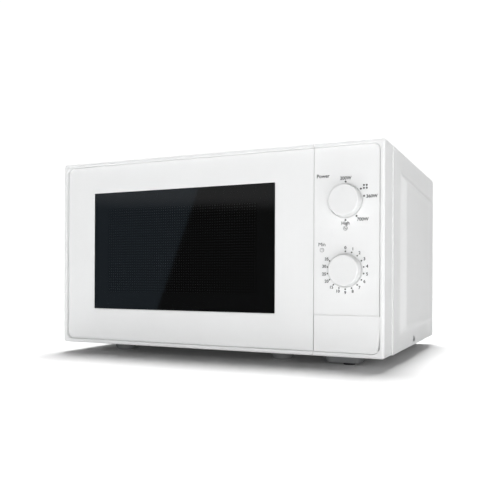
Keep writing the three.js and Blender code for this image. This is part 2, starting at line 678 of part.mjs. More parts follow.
// Sheet that leads the fan's air from the magnetron to the openings in the cavity wall.
function airDuct() {
  const x0 = CAVITY.right + SHEET + GAP;
  const outer = box(x0, x0 + 26, 84, 194, 112, 168);
  const inner = box(x0 - 1, x0 + 24.6, 85.4, 195, 113.4, 166.6);
  const lampHood = box(x0 + 20, x0 + 30, 150, 196, 112, 113.4);
  return join(cut(outer, inner), lampHood);
}

function cavityLamp() {
  const holder = box(130, 156, 92, 118, 196, 224);
  const bulb = rod('x', 119, 131, 105, 210, 8.5, 20, 8.5);
  const tip = rod('x', 114.5, 119.1, 105, 210, 5, 20, 8.5);
  const tabs = [100, 109].map((y) => box(155, 162, y, y + 0.8, 206, 213));
  return join(holder, bulb, tip, ...tabs);
}

function thermalCutout() {
  const x0 = CAVITY.right + SHEET + GAP;
  const centre = [175, 80];
  return join(rod('x', x0, x0 + 1.4, ...centre, 9, 20), rod('x', x0 + 1, x0 + 10, ...centre, 7, 16));
}

// ---- Mains side -----------------------------------------------------------------------------

function filterBoard() {
  const { left, right, front, back } = MAGNETRON;
  const board = box(left + 8, right - 6, front, back, 236, 237.6);
  const choke = rod('z', 237, 249, left + 30, front + 22, 11, 20);
  const suppressor = box(left + 50, left + 78, front + 10, front + 24, 237, 249);
  const relay = box(left + 50, left + 70, front + 40, front + 58, 237, 250);
  const fuse = rod('y', front + 36, front + 64, left + 28, 242, 5, 14);
  const fuseClip = box(left + 24, left + 32, front + 42, front + 58, 237, 240);
  const legs = [[left + 14, front + 6], [right - 12, front + 6], [left + 14, back - 6], [right - 12, back - 6]]
    .map(([x, y]) => rod('z', 227.4, 236.5, x, y, 2.2, 10));
  return join(board, choke, suppressor, relay, fuse, fuseClip, ...legs);
}

// Plastic bracket behind the front plate that guides the hooks and carries the three switches.
function interlockHolder() {
  const front = PLATE_BACK + GAP;
  const wall = box(134, 136.5, front, 74, 38, 236);
  const shelves = [38, 68, 200, 228].map((z) => box(117, 135, front, 74, z, z + 2.5));
  const bridge = box(134, 152.9, front, 53, 53.5, 56);
  const ear = box(150.4, 152.9, front, 53, 40, 56);
  const axleBore = rod('x', 133, 138, LEVER.y, LEVER.z, 3.5, 16);
  const pinBore = rod('x', 149, 154, LEVER.y, LEVER.z, 1.9, 12);
  const bores = [axleBore, pinBore];
  const liftRoom = box(116, 133.9, LEVER.y - 4, 60, 36, 42);
  return cut(join(wall, bridge, ear, ...shelves), liftRoom, ...bores);
}

// A snap-action switch on the outer side of the interlock bracket.
function microSwitch(z) {
  const x0 = 136.9;
  const body = box(x0, x0 + 10, 58, 74, z, z + 28);
  const plunger = box(x0 + 3, x0 + 7, 56.6, 58.1, z + 8, z + 11);
  const terminals = [4, 14, 23].map((dz) => box(x0 + 4.6, x0 + 5.4, 73.9, 82, z + dz, z + dz + 4));
  return join(body, plunger, ...terminals);
}

// ---- Turntable ------------------------------------------------------------------------------

function turntableMotor() {
  const drum = rod('z', 17.2, 32, CAVITY_X, CAVITY_Y, 25, 32);
  const neck = rod('z', 31.9, 33.4, CAVITY_X, CAVITY_Y, 9, 20);
  const ears = box(CAVITY_X - 33, CAVITY_X + 33, CAVITY_Y - 5, CAVITY_Y + 5, 31, 32.2);
  const plug = box(CAVITY_X - 8, CAVITY_X + 8, CAVITY_Y + 20, CAVITY_Y + 34, 19, 29);
  return cut(join(drum, neck, ears, plug), rod('z', 24, 35, CAVITY_X, CAVITY_Y, 4.4, 16));
}

function turntableCoupler() {
  const stem = rod('z', 25, 34, CAVITY_X, CAVITY_Y, 4, 16);
  const collar = rod('z', 33.8, 35, CAVITY_X, CAVITY_Y, 6.5, 20);
  const hub = join(collar, rod('z', 34.9, 46.5, CAVITY_X, CAVITY_Y, 7, 20));
  const arms = [0, 1, 2].map((i) => {
    const arm = new THREE.BoxGeometry(17, 6, 4.6);
    arm.translate(8.5, 0, 48.3);
    arm.rotateZ(i * 2 * Math.PI / 3);
    arm.translate(CAVITY_X, CAVITY_Y, 0);
    return solidOf(arm);
  });
  return join(stem, hub, ...arms);
}

// Round glass dish with a raised edge, and three drive lugs under its middle.
function glassTray() {
  const z = TRAY_Z;
  const profile = [[0, z], [108, z], [113, z + 1.4], [124, z + 11], [TRAY_R, z + 12.6], [TRAY_R, z + 14.2],
    [123.6, z + 14.6], [110, z + 4.6], [106, z + 3.8], [0, z + 3.8]];
  const dish = turned('z', profile, CAVITY_X, CAVITY_Y, 48);
  const lugs = [0, 1, 2].map((i) => {
    const lug = new THREE.BoxGeometry(6, 9, 4);
    lug.translate(15, 0, z - 1.9);
    lug.rotateZ((i + 0.5) * 2 * Math.PI / 3);
    lug.translate(CAVITY_X, CAVITY_Y, 0);
    return solidOf(lug);
  });
  return join(dish, ...lugs);
}

function rollerAngle(i) {
  return Math.PI / 2 + i * 2 * Math.PI / 3;
}

// Plastic ring with three axle stubs that point outwards.
function rollerRing() {
  const low = 40.6;
  const high = 46.6;
  const ring = cut(rod('z', low, high, CAVITY_X, CAVITY_Y, 98, 40),
    rod('z', low - 1, high + 1, CAVITY_X, CAVITY_Y, 92, 40));
  const stubs = [0, 1, 2].map((i) => {
    const stub = new THREE.CylinderGeometry(2, 2, 16, 12);
    stub.rotateZ(-Math.PI / 2);
    stub.translate(97 + 8, 0, ROLLER_Z);
    stub.rotateZ(rollerAngle(i));
    stub.translate(CAVITY_X, CAVITY_Y, 0);
    return solidOf(stub);
  });
  return join(ring, ...stubs);
}

function roller(i) {
  const wheel = new THREE.CylinderGeometry(ROLLER_R, ROLLER_R, 7, 20);
  const bore = new THREE.CylinderGeometry(2.4, 2.4, 9, 12);
  const [outer, inner] = [wheel, bore].map((geometry) => {
    geometry.rotateZ(-Math.PI / 2);
    geometry.translate(ROLLER_TRACK, 0, ROLLER_Z);
    geometry.rotateZ(rollerAngle(i));
    geometry.translate(CAVITY_X, CAVITY_Y, 0);
    return solidOf(geometry);
  });
  return cut(outer, inner);
}

// ---- Finishes and assembly ------------------------------------------------------------------

function finish(color, roughness, metalness) {
  return new THREE.MeshStandardMaterial({ color, roughness, metalness });
}

const white = finish(0xf1f2f2, 0.42, 0);
const whitePaint = finish(0xe9eaea, 0.45, 0.1);
const cavityPaint = finish(0xd3d5d4, 0.5, 0.1);
const zinc = finish(0xa9adb0, 0.45, 0.9);
const darkSteel = finish(0x3a3c3e, 0.5, 0.6);
const smoked = finish(0x101214, 0.08, 0);
const clearGlass = finish(0xdfe9e6, 0.05, 0);
const blackPlastic = finish(0x1d1e20, 0.5, 0);
const greyPlastic = finish(0x8d9092, 0.55, 0);
const nylon = finish(0xe6e3da, 0.6, 0);
const rubber = finish(0x17181a, 0.85, 0);
const copper = finish(0xb36a3a, 0.4, 0.8);
const lamination = finish(0x55585c, 0.6, 0.6);
const aluminium = finish(0xc9cccf, 0.35, 0.95);
const mica = finish(0xcdb98f, 0.7, 0);
const boardGreen = finish(0x2c6a3f, 0.6, 0);

const oven = new THREE.Group();

function place(name, solid, material) {
  const { vertProperties, triVerts } = solid.getMesh();
  const geometry = new THREE.BufferGeometry();
  geometry.setAttribute('position', new THREE.BufferAttribute(new Float32Array(vertProperties), 3));
  geometry.setIndex(new THREE.BufferAttribute(new Uint32Array(triVerts), 1));
  geometry.computeVertexNormals();
  const mesh = new THREE.Mesh(geometry, material);
  mesh.name = name;
  oven.add(mesh);
}

// Body of the oven.
place('base_plate', basePlate(), zinc);
place('front_plate', frontPlate(), whitePaint);
place('cavity_box', cavityBox(), cavityPaint);
place('outer_case', outerCase(), whitePaint);
place('rear_panel', rearPanel(), zinc);
place('front_foot', rubberFoot(), rubber);
place('cord_inlet', cordInlet(), blackPlastic);
place('side_screw_right', screw('x', HALF + 2.5, HALF - 6, SIDE_SCREW.y, SIDE_SCREW.z), zinc);
place('side_screw_left', screw('x', -HALF - 2.5, -HALF + 6, SIDE_SCREW.y, SIDE_SCREW.z), zinc);
place('rear_screw_left', screw('y', CASE_BACK + 2.5, CASE_BACK - 7, ...REAR_SCREWS[0]), zinc);
place('rear_screw_right', screw('y', CASE_BACK + 2.5, CASE_BACK - 7, ...REAR_SCREWS[1]), zinc);
place('hinge_bracket_top', hingeBracket(...HINGE_ARMS[1], 226, 248), zinc);
place('hinge_bracket_bottom', hingeBracket(...HINGE_ARMS[0], 21, 43), zinc);

// Control panel.
place('control_panel', controlPanel(), white);
place('timer_unit', timerUnit(), greyPlastic);
place('power_knob', dial(POWER_Z), white);
place('timer_knob', dial(TIMER_Z), white);
place('power_shaft', shaft(POWER_Z), nylon);
place('timer_shaft', shaft(TIMER_Z), nylon);
place('door_release_button', releaseButton(), white);
place('button_spring', spring('y', 24, FRAME_DEPTH - 0.4, 185, 38, 4.6, 0.5, 4), zinc);
place('release_lever', releaseLever(), nylon);

// Door.
place('door_frame', doorFrame(), white);
place('door_window', doorWindow(), smoked);
place('door_screen', doorScreen(), darkSteel);
place('choke_cover', chokeCover(), greyPlastic);
place('door_inner_film', doorFilm(), clearGlass);
place('door_hinge_pin_top', hingePin(236.5, 251.6), zinc);
place('door_hinge_pin_bottom', hingePin(17.6, 32.5), zinc);
place('latch_hooks', latchHooks(), nylon);
place('latch_spring', spring('z', 224.6, HEIGHT - WALL - 0.6, 127, 30.5, 2.4, 0.45, 6), zinc);

// Interlock.
place('interlock_holder', interlockHolder(), nylon);
place('primary_switch', microSwitch(205), blackPlastic);
place('secondary_switch', microSwitch(64), blackPlastic);
place('monitor_switch', microSwitch(96), greyPlastic);

// Microwave source and its supply.
place('waveguide', waveguide(), zinc);
place('waveguide_cover', waveguideCover(), mica);
place('magnetron_yoke', magnetronYoke(), zinc);
place('magnetron_fins', magnetronFins(), aluminium);
place('magnetron_filter_box', magnetronFilterBox(), zinc);
place('transformer_core', transformerCore(), lamination);
place('primary_winding', winding(34, 49), copper);
place('secondary_winding', winding(51, 66), copper);
place('capacitor', capacitor(), aluminium);
place('capacitor_clamp', capacitorClamp(), zinc);
place('high_voltage_diode', highVoltageDiode(), blackPlastic);
place('filter_board', filterBoard(), boardGreen);

// Cooling, lighting and protection.
place('fan_housing', fanHousing(), blackPlastic);
place('fan_motor', fanMotor(), lamination);
place('fan_blade', fanBlade(), nylon);
place('air_duct', airDuct(), nylon);
place('cavity_lamp', cavityLamp(), clearGlass);
place('thermal_cutout', thermalCutout(), blackPlastic);

// Turntable.
place('turntable_motor', turntableMotor(), zinc);
place('turntable_coupler', turntableCoupler(), nylon);
place('glass_tray', glassTray(), clearGlass);
place('roller_ring', rollerRing(), nylon);
for (let i = 0; i < 3; i += 1) {
  place(`roller_${i + 1}`, roller(i), nylon);
}

oven.position.y = -(STANDOFF_BACK - KNOB_PROUD) / 2;
export default oven;
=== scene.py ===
# %% [markdown]
# A countertop microwave oven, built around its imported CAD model. The CAD parts
# give every place and size; this file gives the moulded, pressed and glass
# surfaces that a buyer would see. Sizes are in millimetres until a piece is
# settled into the scene, because a maker's drawing of an oven is read that way.

# %% Load the frame
import json
import math

import bmesh
import bpy
from mathutils import Matrix, Vector


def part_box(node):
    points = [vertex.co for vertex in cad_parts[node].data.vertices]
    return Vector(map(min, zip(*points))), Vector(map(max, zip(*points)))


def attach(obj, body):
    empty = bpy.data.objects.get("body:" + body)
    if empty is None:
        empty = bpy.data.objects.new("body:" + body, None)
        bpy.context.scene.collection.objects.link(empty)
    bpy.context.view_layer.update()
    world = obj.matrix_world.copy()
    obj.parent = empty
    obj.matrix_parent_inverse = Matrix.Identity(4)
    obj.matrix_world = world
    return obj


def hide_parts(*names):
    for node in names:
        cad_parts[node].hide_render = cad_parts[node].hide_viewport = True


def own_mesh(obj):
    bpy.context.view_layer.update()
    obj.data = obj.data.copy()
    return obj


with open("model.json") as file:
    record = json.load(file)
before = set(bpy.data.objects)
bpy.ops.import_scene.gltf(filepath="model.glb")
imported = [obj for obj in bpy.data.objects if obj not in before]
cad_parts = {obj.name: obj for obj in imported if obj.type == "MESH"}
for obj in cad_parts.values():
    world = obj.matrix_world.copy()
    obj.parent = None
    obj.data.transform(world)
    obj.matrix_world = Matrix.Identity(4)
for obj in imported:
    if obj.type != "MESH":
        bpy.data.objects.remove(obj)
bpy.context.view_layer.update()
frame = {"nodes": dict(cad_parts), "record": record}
MM = 0.001
RIM_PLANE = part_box("door_frame")[0].y / MM


def span(node):
    """Left, right, front, back, low and high of a CAD node; front and back count from the rim."""
    low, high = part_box(node)
    return (low.x / MM, high.x / MM, low.y / MM - RIM_PLANE, high.y / MM - RIM_PLANE,
            low.z / MM, high.z / MM)


# %% [markdown]
# The camera stands low, a little under the oven's middle height, to the right of
# its right side and about 0.7 m in front of its rim. A lens of 45 mm gives the
# mild perspective of a catalogue view. The small upward shift does what a view
# camera does: it places the horizon below the middle without tilting upright
# edges.

# %% Camera
CAMERA_AT = Vector((0.3722, (RIM_PLANE - 681.1) * MM, 0.1021))
YAW, ROLL = math.radians(24.61), math.radians(0.24)

sight = Vector((-math.sin(YAW), math.cos(YAW), 0))
level = Vector((math.cos(YAW), math.sin(YAW), 0))
upward = level.cross(sight)
across = level * math.cos(ROLL) + upward * math.sin(ROLL)
upright = -level * math.sin(ROLL) + upward * math.cos(ROLL)
camera_data = bpy.data.cameras.new("catalogue_camera")
camera_data.lens = 45.51
camera_data.sensor_width = 36
camera_data.shift_y = 0.0554
camera_data.clip_start = 0.01
camera = bpy.data.objects.new("catalogue_camera", camera_data)
camera.matrix_world = Matrix((across, upright, -sight)).transposed().to_4x4()
camera.matrix_world.translation = CAMERA_AT
bpy.context.scene.collection.objects.link(camera)
bpy.context.scene.camera = camera
bpy.context.scene.view_settings.view_transform = "Standard"
print("camera at", tuple(CAMERA_AT))

# %% [markdown]
# A white appliance on white needs light with a direction, or its edges vanish.
# A broad sun from behind and above the left corner gives the soft shadow at
# the foot of the front; two panels fill the front and the right side. The sky
# is dark near the horizon, so that the black pane has something dark to mirror,
# as it would in a studio with black flats. One brighter strip lies above that,
# for the top of the pane to pick up, and the rest is dim, so that it does not
# fill the shadow.

# %% Sky and lights
HORIZON_GLOW, STRIP_GLOW, SKY_GLOW = 0.07, 0.34, 0.15
STRIP_LOW, STRIP_HIGH = 0.105, 0.24
LOWER_BLEND, UPPER_BLEND = 0.02, 0.05
BACKDROP_GLOW = 1.05


def build_sky():
    world = bpy.data.worlds.new("studio")
    bpy.context.scene.world = world
    world.use_nodes = True
    nodes, links = world.node_tree.nodes, world.node_tree.links
    nodes.clear()
    out = nodes.new("ShaderNodeOutputWorld")
    direction = nodes.new("ShaderNodeTexCoord")
    parts = nodes.new("ShaderNodeSeparateXYZ")
    bands = nodes.new("ShaderNodeValToRGB")
    stops = [(STRIP_LOW, HORIZON_GLOW), (STRIP_LOW + LOWER_BLEND, STRIP_GLOW),
             (STRIP_HIGH, STRIP_GLOW), (STRIP_HIGH + UPPER_BLEND, SKY_GLOW)]
    elements = bands.color_ramp.elements
    elements.remove(elements[1])
    elements[0].position = STRIP_LOW
    for height, _ in stops[1:]:
        elements.new(height)
    for element, (_, glow) in zip(elements, stops):
        element.color = (glow, glow, glow, 1)
    studio = nodes.new("ShaderNodeBackground")
    backdrop = nodes.new("ShaderNodeBackground")
    backdrop.inputs["Color"].default_value = (1, 1, 1, 1)
    backdrop.inputs["Strength"].default_value = BACKDROP_GLOW
    seen = nodes.new("ShaderNodeLightPath")
    choose = nodes.new("ShaderNodeMixShader")
    links.new(direction.outputs["Generated"], parts.inputs[0])
    links.new(parts.outputs["Z"], bands.inputs["Fac"])
    links.new(bands.outputs["Color"], studio.inputs["Color"])
    links.new(seen.outputs["Is Camera Ray"], choose.inputs["Fac"])
    links.new(studio.outputs[0], choose.inputs[1])
    links.new(backdrop.outputs[0], choose.inputs[2])
    links.new(choose.outputs[0], out.inputs["Surface"])


def aim(lamp, place, target):
    lamp.location = place
    lamp.rotation_euler = (Vector(target) - Vector(place)).to_track_quat("-Z", "Y").to_euler()
    bpy.context.scene.collection.objects.link(lamp)


def soft_panel(name, place, target, size, power, tint=(1, 1, 1)):
    data = bpy.data.lights.new(name, "AREA")
    data.shape = "RECTANGLE"
    data.size, data.size_y = size
    data.energy = power
    data.color = tint
    lamp = bpy.data.objects.new(name, data)
    lamp.visible_camera = False
    aim(lamp, place, target)
    return lamp


build_sky()
sun = bpy.data.lights.new("window_sun", "SUN")
sun.energy = 3.45
sun.angle = math.radians(20)
aim(bpy.data.objects.new("window_sun", sun), (-0.16, 0.43, 2), (0, 0, 0))
soft_panel("front_fill", (0.9, -2.4, 0.17), (0, -0.17, 0.13), (0.9, 0.3), 23)
soft_panel("side_fill", (2.2, 0.35, 0.7), (0.22, 0, 0.13), (1.0, 0.5), 7)

# %% [markdown]
# The pane mirrors one tall grey flat that stands to the left, with a slanting
# edge. It is what draws the diagonal band across a glossy door. A real flat
# would show in views from behind, so it is a light panel that only glossy
# rays can see.

# %% Reflected flat
FLAT_Y = -1.6
FLAT_EDGE = Vector((-0.9975, FLAT_Y, 0.0))
FLAT_LEAN = math.atan(0.396)
FLAT_WIDE, FLAT_TALL = 1.6, 2.4
FLAT_POWER, FLAT_TINT = 2.6, (0.55, 0.78, 1.0)

flat = soft_panel("slanting_flat", (0, 0, 0), (0, 1, 0), (FLAT_WIDE, FLAT_TALL), FLAT_POWER, FLAT_TINT)
lean = Matrix.Rotation(FLAT_LEAN, 4, "Y")
flat.matrix_world = (Matrix.Translation(FLAT_EDGE) @ lean
                     @ Matrix.Translation((-FLAT_WIDE / 2, 0, 0)) @ Matrix.Rotation(math.radians(90), 4, "X"))
flat.visible_diffuse = False
print("flat leans", round(math.degrees(FLAT_LEAN), 1), "degrees")

# %% [markdown]
# Every finish is a Principled shader whose colour, roughness and bump vary a
# little, because no sprayed or moulded surface is perfectly even. One helper
# makes them: broad mottling for the colour, fine grain for the bump. The grain
# is measured in millimetres, so a finish keeps its scale on any piece.

# %% Finishes
def finish(name, colour, rough, grain=0.5, relief=0.02, mottle=0.03, rough_change=0.05, patch=55,
           stretch=(1, 1, 1), **sockets):
    material = bpy.data.materials.new(name)
    material.use_nodes = True
    nodes, links = material.node_tree.nodes, material.node_tree.links
    shader = nodes["Principled BSDF"]
    place = nodes.new("ShaderNodeTexCoord")
    scaling = nodes.new("ShaderNodeMapping")
    scaling.inputs["Scale"].default_value = stretch
    links.new(place.outputs["Object"], scaling.inputs["Vector"])
    broad = nodes.new("ShaderNodeTexNoise")
    broad.inputs["Scale"].default_value = 1 / (patch * MM)
    broad.inputs["Detail"].default_value = 3
    fine = nodes.new("ShaderNodeTexNoise")
    fine.inputs["Scale"].default_value = 1 / (grain * MM)
    fine.inputs["Detail"].default_value = 2
    for noise in (broad, fine):
        links.new(scaling.outputs[0], noise.inputs["Vector"])
    shades = nodes.new("ShaderNodeValToRGB")
    for stop, factor in zip(shades.color_ramp.elements, (1 - mottle, 1)):
        stop.color = (*[c * factor for c in colour], 1)
    shades.color_ramp.elements[0].position = 0.35
    shades.color_ramp.elements[1].position = 0.65
    links.new(broad.outputs["Fac"], shades.inputs["Fac"])
    links.new(shades.outputs["Color"], shader.inputs["Base Color"])
    polish = nodes.new("ShaderNodeMapRange")
    polish.inputs["To Min"].default_value = max(rough - rough_change, 0.01)
    polish.inputs["To Max"].default_value = rough + rough_change
    links.new(fine.outputs["Fac"], polish.inputs["Value"])
    links.new(polish.outputs[0], shader.inputs["Roughness"])
    bump = nodes.new("ShaderNodeBump")
    bump.inputs["Strength"].default_value = 0.5
    bump.inputs["Distance"].default_value = relief * MM
    links.new(fine.outputs["Fac"], bump.inputs["Height"])
    links.new(bump.outputs[0], shader.inputs["Normal"])
    for socket, value in sockets.items():
        shader.inputs[socket.replace("_", " ")].default_value = value
    return material


FINISH = {
    "white_plastic": finish("white_abs", (0.90, 0.905, 0.905), 0.42, 0.35, 0.012, 0.012),
    "dial_plastic": finish("dial_abs", (0.86, 0.865, 0.865), 0.34, 0.35, 0.008, 0.012),
    "case_paint": finish("white_powder_coat", (0.86, 0.865, 0.865), 0.46, 0.9, 0.03, 0.015),
    "plate_paint": finish("white_front_plate_paint", (0.80, 0.805, 0.805), 0.4, 0.8, 0.02, 0.02),
    "cavity_paint": finish("grey_cavity_enamel", (0.62, 0.63, 0.63), 0.34, 1.1, 0.03, 0.04),
    "zinc_steel": finish("zinc_coated_sheet", (0.62, 0.64, 0.65), 0.42, 2.2, 0.01, 0.14, 0.09,
                         patch=9, Metallic=0.55),
    "screw_steel": finish("plated_screw", (0.60, 0.61, 0.62), 0.3, 0.3, 0.01, 0.08, Metallic=1.0),
    "pan_paint": finish("black_pan_paint", (0.010, 0.0105, 0.011), 0.6, 0.7, 0.02, 0.1,
                        Specular_IOR_Level=0.2),
    "smoked_pane": finish("smoked_glass", (0.26, 0.275, 0.29), 0.03, 4.0, 0.0, 0.03, 0.01,
                          IOR=1.5, Transmission_Weight=1.0),
    "clear_film": finish("clear_polyester_film", (0.86, 0.89, 0.89), 0.06, 2.0, 0.01, 0.02, 0.03,
                         IOR=1.45, Transmission_Weight=1.0),
    "tray_glass": finish("tempered_tray_glass", (0.90, 0.97, 0.95), 0.03, 6.0, 0.05, 0.02, 0.02,
                         IOR=1.5, Transmission_Weight=1.0),
    "choke_plastic": finish("grey_choke_plastic", (0.72, 0.73, 0.73), 0.5, 0.5, 0.02, 0.03),
    "black_plastic": finish("black_moulding", (0.03, 0.03, 0.032), 0.5, 0.5, 0.03, 0.15),
    "grey_plastic": finish("grey_moulding", (0.30, 0.31, 0.32), 0.5, 0.5, 0.03, 0.08),
    "nylon": finish("natural_nylon", (0.80, 0.78, 0.72), 0.45, 0.8, 0.02, 0.05, Subsurface_Weight=0.15,
                    Subsurface_Scale=0.002),
    "rubber": finish("black_rubber", (0.02, 0.02, 0.022), 0.75, 0.4, 0.05, 0.2),
    "winding_copper": finish("enamelled_copper_wire", (0.55, 0.25, 0.10), 0.3, 0.8, 0.25, 0.15,
                             stretch=(0.05, 0.05, 1), Metallic=1.0),
    "laminations": finish("varnished_laminations", (0.14, 0.15, 0.16), 0.45, 0.5, 0.15, 0.2,
                          stretch=(0.05, 1, 0.05), Metallic=0.7),
    "aluminium": finish("drawn_aluminium", (0.72, 0.73, 0.74), 0.3, 0.4, 0.02, 0.05,
                        stretch=(1, 0.1, 1), Metallic=1.0),
    "mica": finish("pressed_mica", (0.58, 0.48, 0.32), 0.45, 1.5, 0.03, 0.25),
    "circuit_board": finish("green_solder_mask", (0.05, 0.17, 0.08), 0.3, 1.5, 0.02, 0.2),
    "spring_steel": finish("spring_wire", (0.55, 0.56, 0.57), 0.25, 0.3, 0.01, 0.06, Metallic=1.0),
}
FINISH["ink"] = finish("grey_printing_ink", (0.022, 0.023, 0.025), 0.5, 0.2, 0.004, 0.1)
FINISH["pane_print"] = finish("black_pane_print", (0.024, 0.025, 0.026), 0.5, 0.4, 0.004, 0.1)
FINISH["foot_paint"] = finish("grey_foot_zinc", (0.26, 0.265, 0.27), 0.5, 1.2, 0.02, 0.1, Metallic=0.5)
print(len(FINISH), "finishes")

# %% [markdown]
# The floor is a plain sheet of pale paper, big enough that its edge is lost in
# the backdrop. It carries the oven's shadow and nothing else.

# %% Floor
FLOOR_HALF = 2.4
floor_mesh = bpy.data.meshes.new("paper_floor")
floor_mesh.from_pydata([(x * FLOOR_HALF, y * FLOOR_HALF, 0) for x, y in ((-1, -1), (1, -1), (1, 1), (-1, 1))],
                       [], [(0, 1, 2, 3)])
floor = bpy.data.objects.new("paper_floor", floor_mesh)
floor.data.materials.append(finish("pale_paper", (0.9, 0.9, 0.9), 0.9, 3.0, 0.01, 0.005))
bpy.context.scene.collection.objects.link(floor)
floor.visible_glossy = False
floor.visible_transmission = False
print("floor", 2 * FLOOR_HALF, "m")

# %% [markdown]
# Three kinds of form make nearly all of an oven: a lofted solid between
# outlines, a turned solid, and a solid with holes cut in it. These helpers make
# the first two from rings of points and use a Boolean for the third. A narrow
# bevel then breaks the sharp edges, since a moulded or pressed edge is never a
# perfect knife edge and the highlight along it is what reads as real.

# %% Mesh helpers
def outline(left, right, low, high, radii, steps=8):
    """A rectangle with rounded corners; radii run lower left, lower right, upper right, upper left."""
    a, b, c, d = [max(r, 0.02) for r in ((radii,) * 4 if isinstance(radii, (int, float)) else radii)]
    centres = [(left + a, low + a, a, 180), (right - b, low + b, b, 270),
               (right - c, high - c, c, 0), (left + d, high - d, d, 90)]
    points = []
    for u, v, r, start in centres:
        for k in range(steps + 1):
            angle = math.radians(start + 90 * k / steps)
            points.append((u + r * math.cos(angle), v + r * math.sin(angle)))
    return points


def circle(u, v, radius, steps=64):
    return [(u + radius * math.cos(2 * math.pi * k / steps), v + radius * math.sin(2 * math.pi * k / steps))
            for k in range(steps)]


def loft(name, sections, axis="y", closed=False):
    """A solid through sections [(level, outline)] along an axis; closed joins the last one to the first."""
    place = {"x": lambda level, u, v: (level, u, v), "y": lambda level, u, v: (u, level, v),
             "z": lambda level, u, v: (u, v, level)}[axis]
    bm = bmesh.new()
    rings = [[bm.verts.new(place(level, u, v)) for u, v in points] for level, points in sections]
    pairs = list(zip(rings, rings[1:])) + ([(rings[-1], rings[0])] if closed else [])
    for one, two in pairs:
        for k in range(len(one)):
            bm.faces.new((one[k - 1], one[k], two[k], two[k - 1]))
    if not closed:
        bm.faces.new(rings[0])
        bm.faces.new(rings[-1])
    return solid(name, bm)


def solid(name, bm):
    bmesh.ops.recalc_face_normals(bm, faces=bm.faces)
    mesh = bpy.data.meshes.new(name)
    bm.to_mesh(mesh)
    bm.free()
    piece = bpy.data.objects.new(name, mesh)
    bpy.context.scene.collection.objects.link(piece)
    return piece


def turn(name, profile, u, v, axis="y", steps=64, closed=False):
    """A turned solid; profile is [(level, radius)]."""
    return loft(name, [(level, circle(u, v, radius, steps)) for level, radius in profile], axis, closed)


def brick(name, left, right, front, back, low, high, radius=0.0):
    ring = [(left, low), (right, low), (right, high), (left, high)]
    if radius:
        ring = outline(left, right, low, high, radius, 4)
    return loft(name, [(front, ring), (back, ring)])


def apply_modifiers(piece):
    evaluated = piece.evaluated_get(bpy.context.evaluated_depsgraph_get())
    mesh = bpy.data.meshes.new_from_object(evaluated)
    piece.modifiers.clear()
    piece.data = mesh
    return piece


def join(first, *rest):
    """One object that holds the meshes of all."""
    bm = bmesh.new()
    for piece in (first, *rest):
        bm.from_mesh(piece.data)
    bm.to_mesh(first.data)
    bm.free()
    for piece in rest:
        bpy.data.objects.remove(piece)
    return first


def carve(piece, *cutters, operation="DIFFERENCE"):
    for cutter in cutters:
        boolean = piece.modifiers.new("carve", "BOOLEAN")
        boolean.operation = operation
        boolean.solver = "EXACT"
        boolean.object = cutter
        apply_modifiers(piece)
        bpy.data.objects.remove(cutter)
    return piece


def soften(piece, width=0.35, segments=2, angle=40):
    bevel = piece.modifiers.new("soften", "BEVEL")
    bevel.width = width
    bevel.segments = segments
    bevel.limit_method = "ANGLE"
    bevel.angle_limit = math.radians(angle)
    return apply_modifiers(piece)


def even_shading(piece, sharp):
    """Smooth shading that keeps flat faces flat, with sharp edges above an angle."""
    piece.data.shade_smooth()
    piece.data.set_sharp_from_angle(angle=math.radians(sharp))
    weighted = piece.modifiers.new("even_shading", "WEIGHTED_NORMAL")
    weighted.keep_sharp = True
    weighted.weight = 80
    return apply_modifiers(piece)


def settle(piece, body, slot, *nodes, finish_name=None, sharp=38):
    """Brings a piece into the scene's metres, gives its finish, parents it to the body that it rides on and
    hides the CAD nodes that it replaces.
    """
    piece.data.transform(Matrix.Translation((0, RIM_PLANE * MM, 0)) @ Matrix.Scale(MM, 4))
    piece.data.materials.clear()
    piece.data.materials.append(FINISH[finish_name or slot])
    even_shading(piece, sharp)
    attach(piece, body)
    if nodes:
        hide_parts(*nodes)
    print(piece.name, len(piece.data.polygons), "faces on", body)
    return piece


# %% [markdown]
# Door and control panel are two mouldings of one front: a flat face inside a
# raised, rounded rim, with a narrow groove at the rim's foot and a shallow step
# around the rear edge. Lofting the whole front once and slicing it at the seam
# keeps the rim running true across both, as the toolmaker would want. The
# hollow back, the window and the holes are cut out afterwards.

# %% The rimmed front
door_left, door_right, _, door_back, front_low, front_high = span("door_frame")
panel_left, panel_right, _, panel_back, _, _ = span("control_panel")
FACE = 3.0
WALL = 2.5
RIM_TOP = 4.0
OUTER_ROUND, INNER_ROUND, FOOT_ROUND = 2.6, 0.9, 0.25
GROOVE_DEEP, GROOVE_START, GROOVE_END = 1.7, 5.2, 6.15
REAR_STEP, REAR_STEP_LONG = 2.4, 1.8
SEAM_TRIM = 0.2


def front_outline(inset, radius):
    return outline(door_left + inset, panel_right - inset, front_low + inset, front_high - inset, radius)


def quarter(steps=5):
    """How far across and how far in a rounded edge has run at each step of a quarter turn."""
    angles = [k / steps * math.pi / 2 for k in range(steps + 1)]
    return [(math.sin(angle), 1 - math.cos(angle)) for angle in angles]


